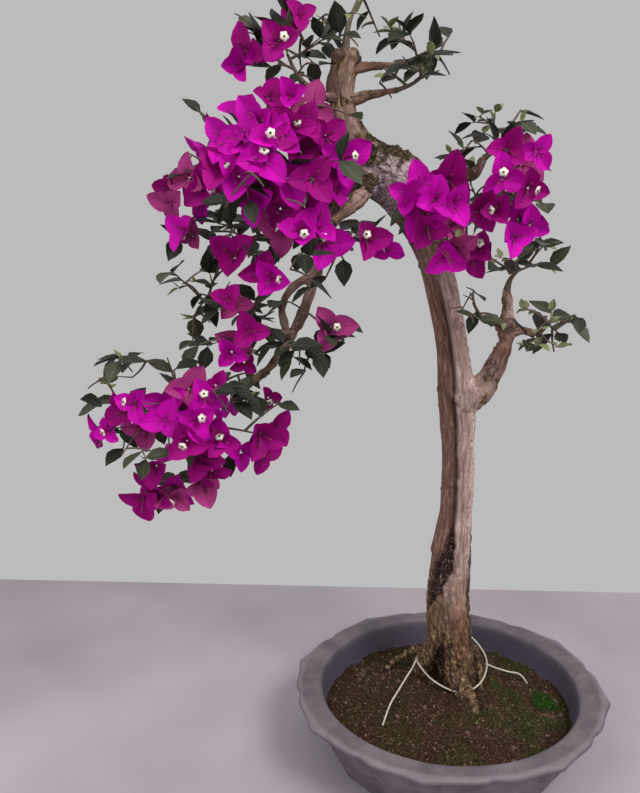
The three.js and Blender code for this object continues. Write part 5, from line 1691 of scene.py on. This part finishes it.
def veined(name, tone, veinTone, roughness, specular, ribs):  # a blade with its midrib and side veins
    material, tree = startMaterial(name, {"Roughness": roughness, "Specular IOR Level": specular})
    place = addNode(tree, "ShaderNodeTexCoord").outputs
    marks = addNode(tree, "ShaderNodeSeparateXYZ", {"Vector": place["UV"]})
    across = addNode(tree, "ShaderNodeMath", {0: marks.outputs["X"], 1: 0.5}, operation="SUBTRACT")
    off = addNode(tree, "ShaderNodeMath", {0: across.outputs[0]}, operation="ABSOLUTE")
    slant = addNode(tree, "ShaderNodeMath", {0: off.outputs[0], 1: -0.9, 2: marks.outputs["Y"]},
                    operation="MULTIPLY_ADD")
    wave = addNode(tree, "ShaderNodeMath", {0: slant.outputs[0], 1: ribs * 2 * math.pi}, operation="MULTIPLY")
    crest = addNode(tree, "ShaderNodeMath", {0: wave.outputs[0]}, operation="SINE")
    side = addNode(tree, "ShaderNodeMapRange", {0: crest.outputs[0], 1: 0.75, 2: 1.0, 3: 0.0, 4: 0.55})
    middle = addNode(tree, "ShaderNodeMapRange", {0: off.outputs[0], 1: 0.0, 2: 0.05, 3: 1.0, 4: 0.0})
    vein = addNode(tree, "ShaderNodeMath", {0: side.outputs[0], 1: middle.outputs[0]}, operation="MAXIMUM")
    grain = addNode(tree, "ShaderNodeTexNoise", {"Vector": place["Object"], "Scale": perMetre(18)}).outputs["Fac"]
    value = addNode(tree, "ShaderNodeMapRange", {0: grain, 1: 0.3, 2: 0.7, 3: 0.8, 4: 1.2}).outputs["Result"]
    blade = addNode(tree, "ShaderNodeHueSaturation", {"Value": value, "Color": linear(tone)}).outputs["Color"]
    mixed = addNode(tree, "ShaderNodeMix", {"Factor": vein.outputs[0], 6: blade, 7: linear(veinTone)},
                    data_type="RGBA").outputs[2]
    bump = addNode(tree, "ShaderNodeBump", {"Height": vein.outputs[0], "Strength": 0.5, "Distance": 0.3 * mm})
    return wired(material, mixed, bump)


def makeSeats(name, seats):  # one vertex per seat: (place, axis, up, size, shape, tint)
    source = looseShape(name, [Vector(seat[0]) * mm for seat in seats], [])
    columns = ("axis", "FLOAT_VECTOR"), ("up", "FLOAT_VECTOR"), ("size", "FLOAT"), ("shape", "INT"), ("tint", "INT")
    for column, (label, kind) in enumerate(columns, 1):
        setAttribute(source.data, label, np.array([seat[column] for seat in seats]), kind)
    return show(source)


def sprayed(name, seats, shapes, finishes):
    source = makeSeats(name + "_seats", seats)
    values = {"Shapes": shapeShelf(name + "_shapes", shapes), "Size": mm}
    values.update({f"Finish {number}": finish for number, finish in enumerate(finishes)})
    piece = grownPiece(name, source, sprayTree(len(finishes)), values)
    bpy.data.objects.remove(source)
    settle(piece, tuple(masses))


def bloomSeats():
    random = randomSource(4801)
    bracts, floretTubes, stars, eyes = [], [], [], []
    for base, face, roll, scale in crop["blooms"]:
        faded = any((base - Vector(at)).length < fine["fadedReach"] for at in fine["fadedAt"])
        pick = random()
        tint = 2 if faded else 0 if pick < fine["vivid"] else 1 if pick < fine["vivid"] + fine["deep"] else 2
        start = perpendicularTo(face)
        opening = math.radians(within(fine["opening"], random()))
        withStar = random() < fine["starShare"]
        starOn = int(random() * 3)
        for number in range(3):
            out = turned(start, roll + number * 2 * math.pi / 3 + 0.3 * (random() - 0.5), face)
            lean = opening + 0.25 * (random() - 0.5)
            axis = face * math.cos(lean) + out * math.sin(lean)
            up = face * math.sin(lean) - out * math.cos(lean)
            length = within(fine["bract"], random()) * scale
            bracts.append((base + out * 0.8, axis, up, length, int(random() * 4), tint))
            tubeAxis = (face * 0.88 + out * (0.35 + 0.3 * random())).normalized()
            tubeLength = within(fine["tube"], random()) * scale
            foot = base + out * 1.2 + face * 0.8
            opened = withStar and number == starOn
            floretTubes.append((foot, tubeAxis, out, tubeLength, 0 if opened else 1, 0))
            if opened:
                end = foot + tubeAxis * (tubeLength * 0.98)
                stars.append((end, tubeAxis, out, fine["star"], 0, 0))
                eyes.append((end + tubeAxis * 0.15, tubeAxis, out, fine["eye"], 0, 0))
    return bracts, floretTubes, stars, eyes


def leafSeats():
    random = randomSource(9127)
    seats = []
    for base, axis, up, length, young in crop["leaves"]:
        tint = 2 if young else 0 if random() < fine["darkLeaves"] else 1
        seats.append((base, axis, up, length, int(random() * 4), tint))
    return seats


def makeFoliage():
    leafTones = [veined(*tones, *foliageSet["leafFinish"]) for tones in foliageSet["leaves"]]
    bractTones = [veined(*tones, *foliageSet["bractFinish"]) for tones in foliageSet["bracts"]]
    bracts, floretTubes, stars, eyes = bloomSeats()
    sprayed("leaves", leafSeats(), [bladeMesh("leaf", leafShape, variant) for variant in range(4)], leafTones)
    sprayed("bracts", bracts, [bladeMesh("bract", bractShape, variant) for variant in range(4)], bractTones)
    openTube, closedTube, eye = (turnedShape(name, foliageSet[name], foliageSet["sides"])
                                 for name in ("openTube", "closedTube", "eyeball"))
    sprayed("flower_tubes", floretTubes, [openTube, closedTube], [plainFinish(*foliageSet["tube"])])
    sprayed("flower_stars", stars, [starShape("star")], [plainFinish(*foliageSet["star"])])
    sprayed("flower_eyes", eyes, [eye], [plainFinish(*foliageSet["eye"])])
    twigs = makeTubes("twigs", crop["twigs"], foliageSet["sides"], plainFinish(*foliageSet["twig"]))
    settle(twigs, tuple(masses))
    print("foliage done:", {kind: len(grown) for kind, grown in crop.items()})


makeFoliage()
